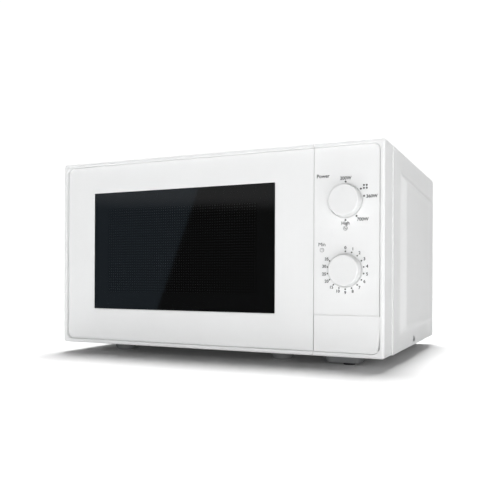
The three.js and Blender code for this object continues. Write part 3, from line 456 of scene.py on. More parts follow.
def rimmed_front(name, back, keep_left, seam):
    """The front block from the rim back, sliced at the seam; keep_left says which half stays."""
    sections = [(back, front_outline(REAR_STEP, 2)), (back - REAR_STEP_LONG, front_outline(REAR_STEP, 2)),
                (back - REAR_STEP_LONG, front_outline(0, 3))]
    sections += [(OUTER_ROUND * (1 - s), front_outline(OUTER_ROUND * c, 3 - OUTER_ROUND * c * 0.5))
                 for s, c in quarter()]
    sections += [(INNER_ROUND * c, front_outline(RIM_TOP + INNER_ROUND * s, 8.9 - INNER_ROUND * s * 0.5))
                 for s, c in quarter()]
    sections += [(FACE + GROOVE_DEEP, front_outline(GROOVE_START, 8.3)),
                 (FACE + GROOVE_DEEP, front_outline(GROOVE_END, 7.8))]
    sections += [(FACE + FOOT_ROUND * (1 - s), front_outline(GROOVE_END + FOOT_ROUND * c, 7.7))
                 for s, c in quarter(3)[::-1]]
    block = loft(name, sections)
    bm = bmesh.new()
    bm.from_mesh(block.data)
    cut = bmesh.ops.bisect_plane(bm, geom=bm.verts[:] + bm.edges[:] + bm.faces[:], plane_co=(seam, 0, 0),
                                 plane_no=(1, 0, 0), clear_outer=keep_left, clear_inner=not keep_left)
    edges = [e for e in cut["geom_cut"] if isinstance(e, bmesh.types.BMEdge)]
    bmesh.ops.holes_fill(bm, edges=edges)
    bmesh.ops.recalc_face_normals(bm, faces=bm.faces)
    bm.to_mesh(block.data)
    bm.free()
    return block


def hollow(left, right, back):
    return brick("hollow", left + WALL, right - WALL, FACE + WALL, back + 5,
                 front_low + WALL, front_high - WALL, 2)


# %% [markdown]
# The door frame is one white moulding. Its window opening has a narrow sloped
# lip that catches the light all round, and the pane sits in a rebate behind
# it. Two notches at the hinge side let the fixed arms in, and the rear edge
# there is rounded about the hinge line, so the door can swing past the plate.

# %% Door frame
WINDOW = (-171.5, 90.2, 60.3, 214.0)
HINGE_X, HINGE_Y, TRIM_RADIUS = -209.0, 26.5, 13.2
LIP_SLOPE = 1.3
pane = span("door_window")


def widened(rectangle, extra, radius):
    left, right, low, high = rectangle
    return outline(left - extra, right + extra, low - extra, high + extra, radius)


def hinge_corner():
    corner = brick("hinge_corner", door_left - 5, HINGE_X, HINGE_Y, 60, 0, front_high + 5)
    rounding = [(-2, TRIM_RADIUS), (front_high + 8, TRIM_RADIUS)]
    return carve(corner, turn("rounding", rounding, HINGE_X, HINGE_Y, "z", 96))


def hinge_notches():
    arms = [span("hinge_bracket_bottom"), span("hinge_bracket_top")]
    return [brick("notch", door_left - 1, -201, 16, door_back + 1, z - 1, z + 3)
            for z in (arms[0][4], arms[1][5] - 2)]


def opening_cutter():
    rings = [(FACE - 1, widened(WINDOW, LIP_SLOPE, 1.6)), (FACE + 0.02, widened(WINDOW, LIP_SLOPE, 1.6)),
             (FACE + 1.1, widened(WINDOW, 0, 0.8)), (FACE + 9, widened(WINDOW, 0, 0.8))]
    return loft("window_opening", rings)


door_shell = rimmed_front("door_moulding", door_back, True, door_right + SEAM_TRIM)
rebate = brick("rebate", pane[0] - 0.4, pane[1] + 0.4, pane[2] - 0.3, FACE + WALL + 3,
               pane[4] - 0.4, pane[5] + 0.4, 0.5)
carve(door_shell, hollow(door_left, door_right, door_back), opening_cutter(), rebate, hinge_corner(),
      *hinge_notches())
soften(door_shell, 0.3)
pins = (span("door_hinge_pin_bottom"), span("door_hinge_pin_top"))
BLOCK_HEIGHTS = ((front_low + 1, 19.6), (24.4, 33), (236, 244.6), (249.4, front_high - 1))
blocks = [brick("hinge_block", -214, -204, FACE + 1, 33, low, high, 1) for low, high in BLOCK_HEIGHTS]
bores = [turn("bore", [(pin[4] - 0.5, 2.8), (pin[5] + 0.5, 2.8)], HINGE_X, HINGE_Y, "z", 32) for pin in pins]
for block in blocks:
    soften(block, 0.3)
holders = carve(join(*blocks), *bores)
settle(join(door_shell, holders), "door", "white_plastic", "door_frame")

# %% [markdown]
# Seen from the front, a microwave window is nearly black: smoked glass over a
# printed black border, and a fine perforated screen behind the clear middle.
# Building all three lets light behave as it does on the real door, and the
# screen shows when the door stands open.

# %% Window pane and its printed border
pane_left, pane_right, pane_front, pane_back, pane_low, pane_high = pane
CLEAR_PART = (-151.0, 66.0, 83.0, 192.0)
GLASS_EDGE = 0.4
glass_full = outline(pane_left, pane_right, pane_low, pane_high, 2)
glass_bevelled = outline(pane_left + GLASS_EDGE, pane_right - GLASS_EDGE, pane_low + GLASS_EDGE,
                         pane_high - GLASS_EDGE, 1.6)
glass = loft("window_glass", [(pane_front, glass_bevelled), (pane_front + GLASS_EDGE, glass_full),
                              (pane_back - GLASS_EDGE, glass_full), (pane_back, glass_bevelled)])
settle(glass, "door", "smoked_pane", "door_window")
PRINT_GAP, PRINT_THICK = 0.05, 0.08
print_front, print_back = pane_back + PRINT_GAP, pane_back + PRINT_GAP + PRINT_THICK
border_outer = outline(pane_left + 0.5, pane_right - 0.5, pane_low + 0.5, pane_high - 0.5, 2)
border_inner = widened(CLEAR_PART, 0, 3)
border = loft("pane_border_print", [(print_front, border_outer), (print_back, border_outer),
                                    (print_back, border_inner), (print_front, border_inner)], closed=True)
settle(border, "door", "smoked_pane", finish_name="pane_print")

# %% [markdown]
# The door pan is pressed from one sheet: a channel around the edge that traps stray microwaves, and a flat
# middle with a field of round holes. The pan is a closed loft of its folded section. The holes are one
# drilled cell repeated by two arrays, which are welded and applied.

# %% Door pan and perforated screen
PITCH_OF_HOLES, HOLE_RADIUS, SCREEN_SHEET = 3.5, 0.95, 0.6
pan = span("door_screen")


def pan_outline(inset, radius):
    return outline(pan[0] + inset, pan[1] - inset, pan[4] + inset, pan[5] - inset, radius, 5)


FOLDS = [(33, 0, 4), (15, 0, 4), (14, 1, 4), (14, 14, 7), (15, 15, 6), (33.5, 15, 5), (34, 15.5, 5),
         (34, 30, 3), (35, 30, 3), (35, 15, 5), (34.4, 14, 5), (15, 14, 7), (15, 1, 4), (33, 1, 4)]
screen_frame = loft("door_pan", [(y, pan_outline(inset, radius)) for y, inset, radius in FOLDS], closed=True)
settle(screen_frame, "door", "pan_paint", "door_screen")


def perforated_sheet(left, right, low, high, front):
    bm = bmesh.new()
    half = PITCH_OF_HOLES / 2
    compass = ((1, 0), (1, 1), (0, 1), (-1, 1), (-1, 0), (-1, -1), (0, -1), (1, -1))
    square = [(half * u, half * v) for u, v in compass]
    hole = circle(0, 0, HOLE_RADIUS, 8)
    layers = [[bm.verts.new((left + half + u, y, low + half + v)) for u, v in points]
              for y in (front, front + SCREEN_SHEET) for points in (square, hole)]
    for one, two in ((layers[0], layers[1]), (layers[1], layers[3]), (layers[3], layers[2])):
        for k in range(8):
            bm.faces.new((one[k - 1], one[k], two[k], two[k - 1]))
    sheet = solid("perforated_screen", bm)
    for way, length in ((0, right - left), (2, high - low)):
        rows = sheet.modifiers.new("rows", "ARRAY")
        rows.use_relative_offset = False
        rows.use_constant_offset = True
        rows.constant_offset_displace = [PITCH_OF_HOLES if k == way else 0 for k in range(3)]
        rows.count = round(length / PITCH_OF_HOLES)
        rows.use_merge_vertices = True
        rows.merge_threshold = 0.01
    apply_modifiers(sheet)
    bm = bmesh.new()
    bm.from_mesh(sheet.data)
    bmesh.ops.bridge_loops(bm, edges=[e for e in bm.edges if e.is_boundary])
    bmesh.ops.recalc_face_normals(bm, faces=bm.faces)
    bm.to_mesh(sheet.data)
    bm.free()
    return sheet


SCREEN_INSET, SCREEN_BACK = 29, 34.77
screen = perforated_sheet(pan[0] + SCREEN_INSET, pan[1] - SCREEN_INSET, pan[4] + SCREEN_INSET,
                          pan[5] - SCREEN_INSET, SCREEN_BACK - SCREEN_SHEET)
settle(screen, "door", "pan_paint")

# %% [markdown]
# The control panel is the other half of the front. Two shallow wells take the
# feet of the dials, each with a hole for the shaft, and the corner cut-out holds
# the door release plate with an even running gap.

# %% Control panel
_, button_right, _, _, button_low, button_high = span("door_release_button")
button_left, BUTTON_GAP, BUTTON_CORNER = 140.5, 0.9, 8.0
SHAFT_HOLE = 7.5
WELL_RADIUS, WELL_DEEP = 19.5, 2.0
dial_places = [((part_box(node)[0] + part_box(node)[1]) / 2 / MM) for node in ("power_knob", "timer_knob")]

panel_shell = rimmed_front("panel_moulding", panel_back, False, panel_left - SEAM_TRIM)
corner_ring = outline(button_left - BUTTON_GAP, button_right + BUTTON_GAP, button_low - BUTTON_GAP,
                      button_high + BUTTON_GAP, (0.3, BUTTON_CORNER + BUTTON_GAP, 0.3, 0.3))
corner_space = loft("corner_space", [(y, corner_ring) for y in (FACE - 1.4, FACE + WALL + 2)])
well = [(-1, WELL_RADIUS), (FACE + WELL_DEEP, WELL_RADIUS), (FACE + WELL_DEEP, SHAFT_HOLE),
        (FACE + WALL + 3, SHAFT_HOLE)]
wells = [turn("well", well, place.x, place.z, "y", 96) for place in dial_places]
carve(panel_shell, hollow(panel_left, panel_right, panel_back), corner_space, *wells)
soften(panel_shell, 0.22)
settle(panel_shell, "oven", "white_plastic", "control_panel")

# %% [markdown]
# The release plate under the dials is pushed in to open the door. It is a thin
# shell level with the face, with a stem behind it that reaches the lever and a
# post that carries its spring.

# %% Door release plate
def release_plate():
    corners = (0.6, BUTTON_CORNER, 0.6, 0.6)

    def ring(y, inset):
        return (y, outline(button_left + inset, button_right - inset, button_low + inset, button_high - inset,
                           [max(r - inset, 0.4) for r in corners]))
    edge = 0.5
    sections = [ring(FACE + edge * (1 - s), edge * c) for s, c in quarter(3)][::-1]
    return loft("release_plate", sections + [ring(22, 0), ring(22, 2), ring(5.5, 2)])


stem = soften(brick("stem", 142.6, 148, 5, 43.9, 31.5, 34.5), 0.3)
post = turn("post", [(5, 3), (25.4, 3), (26, 2.5)], 185, 38, "y", 32)
settle(join(release_plate(), stem, post), "release_button", "white_plastic", "door_release_button")

# %% [markdown]
# Each dial is a plain, slightly tapered drum with a soft front edge, hollow
# behind, turned as one profile. A fine engraved line on its face shows where it
# points. It stands over a well in the panel, so a thin shadow rings its foot.

# %% Dials
def dial(name, node, place):
    left, right, front, back, _, _ = span(node)
    radius = (right - left) / 2
    tip = radius - 1.3
    edge = 1.6
    profile = [(front + 0.12, 0.05), (front + 0.05, tip * 0.5), (front, tip - edge - 0.6)]
    profile += [(front + edge * c, tip - edge + edge * s) for s, c in quarter(6)[1:]]
    profile += [(back - 2.2, radius - 0.35), (back - 0.3, radius), (back, radius - 0.3), (back, radius - 2),
                (front + 3, tip - 2.2), (front + 3, 5.6), (back - 1, 5.6), (back - 1, 3.3),
                (front + 4.5, 3.3), (front + 4.5, 0.05)]
    drum = turn(name, profile, place.x, place.z, "y", 96)
    pointer = brick("pointer", place.x - 0.35, place.x + 0.35, front - 1, front + 0.35,
                    place.z + tip * 0.62, place.z + tip - 1.2)
    return carve(drum, pointer)


for name, node, place, body in (("power_dial_drum", "power_knob", dial_places[0], "power_dial"),
                                ("timer_dial_drum", "timer_knob", dial_places[1], "timer_dial")):
    settle(dial(name, node, place), body, "dial_plastic", node, sharp=30)

# %% [markdown]
# The markings are screen printed: thin flat ink on the face. Text objects give
# the lettering, dots mark the settings, and everything is joined into one thin
# mesh per panel. The words are only what any dial needs.

# %% Panel printing
INK, LIFT = 0.04, 0.01
LETTER = 5.1
POWER, TIMER = dial_places


def flat_text(words, x, z, size=LETTER, weight=0.09):
    curve = bpy.data.curves.new("marking", "FONT")
    curve.body = words
    curve.size = size
    curve.align_x = "CENTER"
    curve.align_y = "CENTER"
    curve.extrude = INK / 2
    curve.offset = weight
    curve.resolution_u = 4
    text = bpy.data.objects.new("marking", curve)
    bpy.context.scene.collection.objects.link(text)
    bpy.context.view_layer.update()
    mesh = bpy.data.meshes.new_from_object(text.evaluated_get(bpy.context.evaluated_depsgraph_get()))
    bpy.data.objects.remove(text)
    upright = Matrix.Rotation(math.radians(90), 4, "X")
    mesh.transform(Matrix.Translation((x, FACE - INK / 2 - LIFT, z)) @ upright)
    piece = bpy.data.objects.new("marking", mesh)
    bpy.context.scene.collection.objects.link(piece)
    return piece


def on_dial(place, angle, radius):
    """A point at a clock angle and radius around a dial."""
    return place.x + radius * math.sin(math.radians(angle)), place.z + radius * math.cos(math.radians(angle))


def dot(x, z, radius=1.05):
    return turn("dot", [(FACE - INK - LIFT, radius), (FACE - LIFT, radius)], x, z, "y", 16)


def ring_mark(x, z, radius, line=0.35):
    outer, inner = circle(x, z, radius, 32), circle(x, z, radius - line, 32)
    front, back = FACE - INK - LIFT, FACE - LIFT
    return loft("ring_mark", [(front, outer), (back, outer), (back, inner), (front, inner)], closed=True)


def stroke(x0, z0, x1, z1, line=0.35):
    along = Vector((x1 - x0, z1 - z0)).normalized() * line / 2
    side = Vector((-along.y, along.x))
    corners = [(x0 + side.x, z0 + side.y), (x0 - side.x, z0 - side.y),
               (x1 - side.x, z1 - side.y), (x1 + side.x, z1 + side.y)]
    return loft("stroke", [(FACE - INK - LIFT, corners), (FACE - LIFT, corners)])


MINUTES = ["0", "1", "2", "3", "4", "5", "6", "7", "8", "9", "10", "15", "20", "25", "30", "35"]
SETTINGS = [0, 54, 78, 144, 180]
HEADINGS = [("Power", 149.2, 217.0, 5.7), ("200W", 175.5, 213.4), ("360W", 205.0, 192.0, 4.9),
            ("700W", 195.0, 167.0), ("High", 175.5, 163.2), ("Min", 148.2, 139.8, 5.9, 0.0)]
marks = [flat_text(*heading) for heading in HEADINGS]
marks += [dot(*on_dial(POWER, angle, 21.4)) for angle in SETTINGS]
marks += [dot(197.8 + 1.6 * u, 203.0 + 1.6 * v, 1.0) for u in (-1, 1) for v in (-1, 1)]
for step, minute in enumerate(MINUTES):
    marks.append(dot(*on_dial(TIMER, 20 * step, 21.1), 0.85))
    marks.append(flat_text(minute, *on_dial(TIMER, 20 * step, 25.0), 4.7))
clock = [(148.3, 133.7, 148.3, 135.5), (148.3, 133.7, 149.6, 133.7)]
defrost = [(174.3, 158.7, 176.7, 156.5), (174.1, 156.7, 175.3, 158.8), (175.7, 156.3, 176.9, 158.3)]
marks += [ring_mark(148.3, 133.7, 2.4), *[stroke(*line) for line in clock]]
marks += [ring_mark(175.5, 157.6, 2.5), *[stroke(*line) for line in defrost]]
printing = join(*marks)
printing.name = "panel_markings"
settle(printing, "oven", "white_plastic", finish_name="ink")

# %% [markdown]
# The case is one folded sheet over the top and both sides, stiffened by a
# broad raised panel on each side. A real one is pressed, so the panel's border
# is a smooth slope, wide at the front and steep elsewhere. The sheet is lofted
# from front to back in small steps and each step is pushed out by a formula
# for the pressing. Its front edge has a narrow tuck and its back edge a lip.

# %% Outer case
_, _, case_front, case_back, case_low, case_high = span("outer_case")
HALF_CASE = 221.0
PRESSED = 4.4
SHEET = 1.0
TOP_ROUND = 5.0
ROOF = case_high + 1.0
CROWN_FRONT, CROWN_BACK, CROWN_LOW, CROWN_HIGH_FRONT, CROWN_HIGH_BACK = 99.0, 299.0, 42.5, 221.0, 214.5
SLOPE_FRONT, SLOPE_ELSEWHERE = 22.0, 6.0


def pressing(y, z):
    """How far the raised side panel stands out of the sheet at a place on the side."""
    share = (y - CROWN_FRONT) / (CROWN_BACK - CROWN_FRONT)
    ceiling = CROWN_HIGH_FRONT + (CROWN_HIGH_BACK - CROWN_HIGH_FRONT) * share
    inside = min(1 + (y - CROWN_FRONT) / SLOPE_FRONT, 1 + (CROWN_BACK - y) / SLOPE_ELSEWHERE,
                 1 + (z - CROWN_LOW) / SLOPE_ELSEWHERE, 1 + (ceiling - z) / SLOPE_ELSEWHERE)
    inside = max(0.0, min(1.0, inside))
    return PRESSED * (0.6 * inside + 0.4 * inside * inside * (3 - 2 * inside))


def sheet_path(y, inset):
    """The folded sheet's line at one depth: under the left side, up, over the top and down again."""
    half, top, bottom, bend = HALF_CASE - inset, ROOF - inset, case_low + inset, TOP_ROUND - inset
    rise = [bottom + 1 + (top - bend - bottom - 1) * k / 76 for k in range(77)]
    arc = [(math.sin(k / 8 * math.pi / 2), 1 - math.cos(k / 8 * math.pi / 2)) for k in range(1, 8)]
    left = [(-HALF_CASE + 11, bottom), (-half + 1, bottom), (-half + 0.3, bottom + 0.3)]
    left += [(-half - pressing(y, z), z) for z in rise]
    left += [(-half + bend * c, top - bend + bend * s) for s, c in arc] + [(-half + bend, top)]
    return left + [(-u, v) for u, v in reversed(left)]


def sheet_section(y):
    return (y, sheet_path(y, 0) + sheet_path(y, SHEET)[::-1])


SHEET_STEPS = 97
depths = [case_front + (case_back - case_front) * k / SHEET_STEPS for k in range(SHEET_STEPS + 1)]
wrap = loft("case_sheet", [sheet_section(y) for y in depths])

LIP_WIDE, LIP_INSET = 14.0, 0.6
lip_side, lip_bend, spring_line = -HALF_CASE + LIP_INSET, TOP_ROUND - LIP_INSET, case_high - TOP_ROUND
lip_outer = [(lip_side, case_low + 1), (lip_side, spring_line)]
for k in range(1, 7):
    turned = math.radians(15 * k)
    lip_outer.append((lip_side + lip_bend * (1 - math.cos(turned)),
                      spring_line + lip_bend * math.sin(turned)))
lip_inner = [(-HALF_CASE + LIP_WIDE, case_low + 1), (-HALF_CASE + LIP_WIDE, case_high - LIP_WIDE)]
lip_ring = lip_outer + [(-u, v) for u, v in reversed(lip_outer)]
lip_ring += [(-u, v) for u, v in lip_inner] + lip_inner[::-1]
rear_lip = loft("rear_lip", [(case_back - SHEET, lip_ring), (case_back - 0.02, lip_ring)])

FRONT_TUCK = 2.5
tuck_path = sheet_path(case_front, 0.1) + sheet_path(case_front, FRONT_TUCK)[::-1]
front_tuck = loft("front_tuck", [(case_front - 0.6, tuck_path), (case_front + 0.3, tuck_path)])

SIDE_SCREW_AT, SCREW_HOLE = (170.0, 22.5), 1.9
screw_holes = [turn("hole", [(x - 3, SCREW_HOLE), (x + 3, SCREW_HOLE)], *SIDE_SCREW_AT, "x", 24)
               for x in (-HALF_CASE, HALF_CASE)]
carve(wrap, *screw_holes)
settle(join(soften(wrap, 0.18, 2, 60), rear_lip, front_tuck), "oven", "case_paint", "outer_case", sharp=50)

# %% [markdown]
# Behind the door a painted steel plate closes the front of the case. Its
# opening leads straight into the cavity, a thin-walled box with rounded
# corners. Slots take the two door hooks, the hinge arms and the release stem,
# and the cavity has the holes that its lamp, air, drive and wave guide need.

# %% Front plate and cavity
plate = span("front_plate")
cavity = span("cavity_box")
CAVITY = (cavity[0] + SHEET, cavity[1] - SHEET, cavity[4] + SHEET, cavity[5] - SHEET)
CAVITY_CORNER = 6.0
CAVITY_BACK = cavity[3] - SHEET
TURN_X, TURN_Y = -41.0, 182.8
hooks = span("latch_hooks")


def plate_slots():
    front, back = plate[2] - 1, plate[3] + 1
    slots = [brick("slot", hooks[0] - 3, hooks[1] + 3, front, back, z - 4, z + 18, 2) for z in (50, 210)]
    slots += [brick("slot", -216.5, -201.5, front, back, z - 0.4, z + 2.4) for z in (21, 246)]
    slots.append(brick("slot", 141, 149.6, front, back, 28.5, 37.5, 1.5))
    slots.append(turn("slot", [(front, 8), (back, 8)], 195, 230, "y", 32))
    slots.append(loft("slot", [(y, widened(CAVITY, 0, CAVITY_CORNER)) for y in (front, back)]))
    return slots


plate_sheet = loft("front_plate_sheet", [(y, outline(plate[0], plate[1], plate[4], plate[5], (1, 1, 7, 7)))
                                         for y in (plate[2], plate[3])])
settle(soften(carve(plate_sheet, *plate_slots()), 0.25), "oven", "plate_paint", "front_plate")


def cavity_liner():
    bend, outside = 5.0, CAVITY_CORNER + 1
    rings = [(CAVITY_BACK - bend + bend * s, widened(CAVITY, -bend * c, CAVITY_CORNER))
             for s, c in quarter(5)][::-1]
    rings += [(cavity[2], widened(CAVITY, 0, CAVITY_CORNER)), (cavity[2], widened(CAVITY, SHEET, outside)),
              (cavity[3] - bend, widened(CAVITY, SHEET, outside)),
              (cavity[3], widened(CAVITY, SHEET - bend, CAVITY_CORNER))]
    return loft("cavity_liner", rings)


right_wall = (CAVITY[1] - 2, CAVITY[1] + 3)
cavity_cuts = [brick("feed", *right_wall, 205, 275, 193, 223)]
cavity_cuts += [brick("air", *right_wall, 92 + 9 * k, 97 + 9 * k, 120, 160) for k in range(4)]
cavity_cuts.append(turn("lamp_hole", [(right_wall[0], 9), (right_wall[1], 9)], 105, 210, "x", 32))
cavity_cuts.append(turn("drive_hole", [(CAVITY[2] - 3, 8), (CAVITY[2] + 2, 8)], TURN_X, TURN_Y, "z", 48))
settle(carve(cavity_liner(), *cavity_cuts), "oven", "cavity_paint", "cavity_box")

# %% [markdown]
# The oven stands on a zinc-coated base whose feet are stamped from the same
# sheet as shallow cups. The front right corner has a long boss instead, with a
# small rubber foot under it. Cups and boss are turned or lofted with generous
# radii, because deep-drawn sheet has no sharp edges.

# %% Base with stamped feet
base = span("base_plate")
BASE_LOW, BASE_TOP = 15.4, 16.6
STAMPED = [(-164, 66), (77, 64), (-164, 290), (164, 290)]
RUBBER_AT = (168.0, 48.0)


def stamped_cup(x, y):
    inner = [(1.2, 0.05), (1.2, 8.8), (1.6, 10.2), (3, 11.9), (9, 13.8), (15.2, 15.9), (BASE_TOP, 17.8)]
    outer = [(BASE_LOW - 0.6, 18.6), (14, 16.9), (9, 15), (3, 13.1), (1, 12), (0.25, 10.8), (0, 9.6),
             (0, 0.05)]
    return turn("stamped_foot", inner + outer, x, y, "z", 48)


def boss():
    steps = [(BASE_LOW, 0, 8), (14.6, 0.8, 8), (8, 3.5, 8), (3, 5.6, 7.5), (1.9, 6.8, 7), (1.6, 8, 6.4)]
    rings = [(z, outline(133 + inset, 189 - inset, 41.8 + inset * 0.35, 69 - inset, radius))
             for z, inset, radius in steps]
    return loft("stamped_boss", rings, "z")


BASE_FRONT, FLANGE = 41.6, 1.2
base_ring = outline(base[0], base[1], BASE_FRONT, base[3], 1.5)
floor_sheet = loft("base_sheet", [(BASE_LOW, base_ring), (BASE_TOP, base_ring)], "z")
vents = []
for k in range(6):
    vent_ring = outline(125 + 14 * k, 130 + 14 * k, 205, 255, 2.4)
    vents.append(loft("vent", [(10, vent_ring), (20, vent_ring)], "z"))
carve(floor_sheet, *vents, *[turn("cup_mouth", [(10, 17), (20, 17)], *place, "z", 48) for place in STAMPED])
flanges = [brick("flange", x, x + FLANGE, BASE_FRONT, base[3], BASE_LOW, 32, 0.4)
           for x in (base[0], base[1] - FLANGE)]
settle(join(floor_sheet, *flanges, *[stamped_cup(*place) for place in STAMPED], boss()), "oven", "zinc_steel",
       "base_plate", finish_name="foot_paint")
pad = [(8, 2.5), (1.9, 2.5), (1.8, 6.6), (1.3, 7), (0.4, 6.8), (0, 6.2)]
settle(turn("rubber_pad", pad, *RUBBER_AT, "z", 48), "oven", "rubber", "front_foot")

# %% [markdown]
# The rear panel is a flat sheet with a fan-shaped field of slots, four stamped
# spacers that keep the oven off the wall, and a grommet for the mains lead.
# Screws with cross recesses hold it and the case.

# %% Rear panel, grommet and screws
rear = span("rear_panel")
FAN_AT, FAN_RADIUS = (165.0, 145.0), 42.0
CORD_AT = (190.0, 62.0)
REAR_SHEET = (327.0, 328.0)
CUT_FRONT, CUT_BACK = 326, 329
SLOT_PITCH, SLOT_HALF = 9, 2
SPACERS = ((-150, 218), (150, 218), (-150, 42), (120, 42))


def wall_spacer(x, z):
    tip = rear[3]
    inner = [(tip - 1, 0.05), (tip - 1, 7), (tip - 2, 8.6), (329, 12.6), (REAR_SHEET[0] + 0.3, 13.8)]
    outer = [(REAR_SHEET[1] - 0.1, 15.4), (328.6, 14), (tip - 1.2, 9.6), (tip - 0.3, 8.7), (tip, 7.6),
             (tip, 0.05)]
    return turn("wall_spacer", inner + outer, x, z, "y", 48)


rear_ring = outline(rear[0], rear[1], rear[4], rear[5], (1, 1, 6, 6))
rear_sheet = loft("rear_sheet", [(y, rear_ring) for y in REAR_SHEET])
slots = []
for k in range(-4, 5):
    tall = math.sqrt(FAN_RADIUS ** 2 - (SLOT_PITCH * k) ** 2)
    middle = FAN_AT[0] + SLOT_PITCH * k
    slots.append(brick("slot", middle - SLOT_HALF, middle + SLOT_HALF, CUT_FRONT, CUT_BACK,
                       FAN_AT[1] - tall, FAN_AT[1] + tall, 1.9))
slots.append(turn("cord_hole", [(CUT_FRONT, 7.5), (CUT_BACK, 7.5)], *CORD_AT, "y", 40))
slots += [turn("screw_hole", [(CUT_FRONT, SCREW_HOLE), (CUT_BACK, SCREW_HOLE)], x, 235, "y", 20)
          for x in (-212, 212)]
carve(rear_sheet, *slots)
spacers = [wall_spacer(x, z) for x, z in SPACERS]
settle(join(rear_sheet, *spacers), "oven", "zinc_steel", "rear_panel")
grommet = [(323, 8.4), (326.4, 9.3), (326.6, 7.1), (328.3, 7.1), (328.3, 9.7), (328.8, 10.1), (330.4, 9.9),
           (331, 8.6), (332, 7.1), (332, 4.8), (331.6, 4.2), (322.4, 4.2), (322, 4.7), (322, 7.1), (323, 7.1)]
settle(turn("cord_grommet", grommet, *CORD_AT, "y", 48, closed=True), "oven", "black_plastic", "cord_inlet")


def pan_screw(name, node, axis, outward):
    """A pan-head screw; outward is +1 or -1 along its axis, the way that the head faces."""
    box = span(node)
    near, far = box[:2] if axis == "x" else box[2:4]
    head, tip = (far, near) if outward > 0 else (near, far)
    u = (box[2] + box[3]) / 2 if axis == "x" else (box[0] + box[1]) / 2
    v = (box[4] + box[5]) / 2
    steps = [(0, 0.05), (0.02, 1.2), (0.3, 2.6), (0.9, 3.6), (1.5, 3.95), (2.2, 4), (2.2, 1.5)]
    profile = [(head - outward * depth, radius) for depth, radius in steps]
    profile += [(tip + outward * 1.2, 1.5), (tip, 0.5)]
    body = turn(name, profile, u, v, axis, 48)
    for long, short in ((2.1, 0.45), (0.45, 2.1)):
        ring = [(u - long, v - short), (u + long, v - short), (u + long, v + short), (u - long, v + short)]
        carve(body, loft("cross", [(head + outward, ring), (head - outward * 1.3, ring)], axis))
    return settle(body, "oven", "screw_steel", node)


pan_screw("case_screw_right", "side_screw_right", "x", 1)
pan_screw("case_screw_left", "side_screw_left", "x", -1)
pan_screw("panel_screw_left", "rear_screw_left", "y", 1)
pan_screw("panel_screw_right", "rear_screw_right", "y", 1)

# %% [markdown]
# Inside, a glass tray turns on a three-armed coupler and rides on a ring with
# three small wheels. The tray is a turned dish with a rolled rim; clear glass
# shows every facet, so it is turned in many steps.

# %% Tray, ring and wheels
tray = span("glass_tray")
wheel = span("roller_1")
TRAY_LOW, TRAY_RADIUS = 51.4, (tray[1] - tray[0]) / 2
AXLE_HEIGHT, TRACK = 43.6, 106.0
WHEEL_RADIUS = (wheel[5] - wheel[4]) / 2


def tray_dish():
    under = [(0, 0.05), (0, 106), (0.3, 110), (1.6, 113.6), (5, 118), (10, 123.2), (12.4, 126.2)]
    rim = [(13.2, TRAY_RADIUS), (13.9, TRAY_RADIUS), (14.5, 126.6), (14.6, 125.2), (14, 123.4)]
    inside = [(11, 119.9), (7, 114.6), (4.8, 111), (4, 108), (3.8, 104), (3.8, 0.05)]
    return turn("tray_dish", [(TRAY_LOW + z, r) for z, r in under + rim + inside], TURN_X, TURN_Y, "z", 144)


def swing(piece, degrees):
    """Turns a piece about the turntable's axis."""
    about = Matrix.Translation((TURN_X, TURN_Y, 0))
    piece.data.transform(about @ Matrix.Rotation(math.radians(degrees), 4, "Z") @ about.inverted())
    return piece


def tray_lug():
    return soften(brick("lug", TURN_X + 12, TURN_X + 18, TURN_Y - 4.5, TURN_Y + 4.5,
                        TRAY_LOW - 3.8, TRAY_LOW + 0.1), 0.6, 3)


lugs = [swing(tray_lug(), 60 + 120 * k) for k in range(3)]
settle(join(tray_dish(), *lugs), "tray", "tray_glass", "glass_tray")

section = [(40.6, 92.6), (40.6, 97.4), (41.2, 98), (46, 98), (46.6, 97.4), (46.6, 92.6), (46, 92), (41.2, 92)]
hoop = turn("ring_hoop", section, TURN_X, TURN_Y, "z", 120, closed=True)
stub = [(TURN_X + 96.5, 2), (TURN_X + 112.4, 2), (TURN_X + 113, 1.5)]
stubs = [swing(turn("stub", stub, TURN_Y, AXLE_HEIGHT, "x", 24), 90 + 120 * k) for k in range(3)]
settle(join(hoop, *stubs), "ring", "nylon", "roller_ring")
for k in range(3):
    profile = [(-3.5, 6.5), (-2.9, WHEEL_RADIUS), (2.9, WHEEL_RADIUS), (3.5, 6.5), (3.5, 4.4), (2.6, 4),
               (2.6, 3.4), (3.5, 3.1), (3.5, 2.4), (-3.5, 2.4), (-3.5, 3.1), (-2.6, 3.4), (-2.6, 4),
               (-3.5, 4.4)]
    placed = [(TURN_X + TRACK + u, radius) for u, radius in profile]
    disc = turn(f"ring_wheel_{k + 1}", placed, TURN_Y, AXLE_HEIGHT, "x", 48, closed=True)
    settle(swing(disc, 90 + 120 * k), f"wheel_{k + 1}", "nylon", f"roller_{k + 1}")
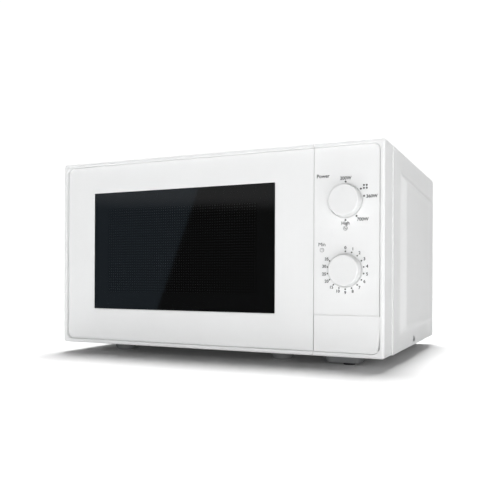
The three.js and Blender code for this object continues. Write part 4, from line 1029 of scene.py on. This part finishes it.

# %% [markdown]
# Two coil springs push the release plate and the latch back. A spring is a round wire along a helix; the wire
# is swept by a curve with a round bevel and turned into a mesh of its own.

# %% Springs
def coil(name, axis, start, end, u, v, radius, wire, turns):
    steps = turns * 24
    curve = bpy.data.curves.new(name, "CURVE")
    curve.dimensions = "3D"
    curve.bevel_depth = wire
    curve.bevel_resolution = 3
    curve.use_fill_caps = True
    line = curve.splines.new("POLY")
    line.points.add(steps)
    for k, point in enumerate(line.points):
        angle = 2 * math.pi * k / 24
        along = start + wire + (end - start - 2 * wire) * k / steps
        side = (u + radius * math.cos(angle), v + radius * math.sin(angle))
        place = (side[0], along, side[1]) if axis == "y" else (side[0], side[1], along)
        point.co = (*place, 1)
    wound = bpy.data.objects.new(name, curve)
    bpy.context.scene.collection.objects.link(wound)
    bpy.context.view_layer.update()
    mesh = bpy.data.meshes.new_from_object(wound.evaluated_get(bpy.context.evaluated_depsgraph_get()))
    bpy.data.objects.remove(wound)
    piece = bpy.data.objects.new(name, mesh)
    bpy.context.scene.collection.objects.link(piece)
    return piece


plunger = span("button_spring")
catch = span("latch_spring")
push_back = coil("release_coil", "y", plunger[2], plunger[3], (plunger[0] + plunger[1]) / 2,
                 (plunger[4] + plunger[5]) / 2, (plunger[1] - plunger[0]) / 2 - 0.5, 0.5, 6)
settle(push_back, "oven", "spring_steel", "button_spring")
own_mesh(push_back)
hold_down = coil("latch_coil", "z", catch[4], catch[5], (catch[0] + catch[1]) / 2, (catch[2] + catch[3]) / 2,
                 (catch[1] - catch[0]) / 2 - 0.35, 0.35, 10)
settle(hold_down, "door", "spring_steel", "latch_spring")
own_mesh(hold_down)

# %% [markdown]
# The parts that the case hides, and those whose CAD shape is already right,
# stay as they are. Each gets its finish and a fine bevel, so that their edges
# catch the light through the slots and with the door open.

# %% Carried-over parts
EDGE = 0.25 * MM
kept = 0
for entry in frame["record"]["subparts"]:
    part = frame["nodes"][entry["node"]]
    part.data.materials.clear()
    part.data.materials.append(FINISH[entry["material_slot"]])
    if part.hide_render:
        continue
    edge = part.modifiers.new("broken_edge", "BEVEL")
    edge.width = EDGE
    edge.segments = 2
    edge.limit_method = "ANGLE"
    edge.angle_limit = math.radians(50)
    part.data.shade_smooth()
    part.data.set_sharp_from_angle(angle=math.radians(35))
    kept += 1
print(kept, "CAD parts carried over")
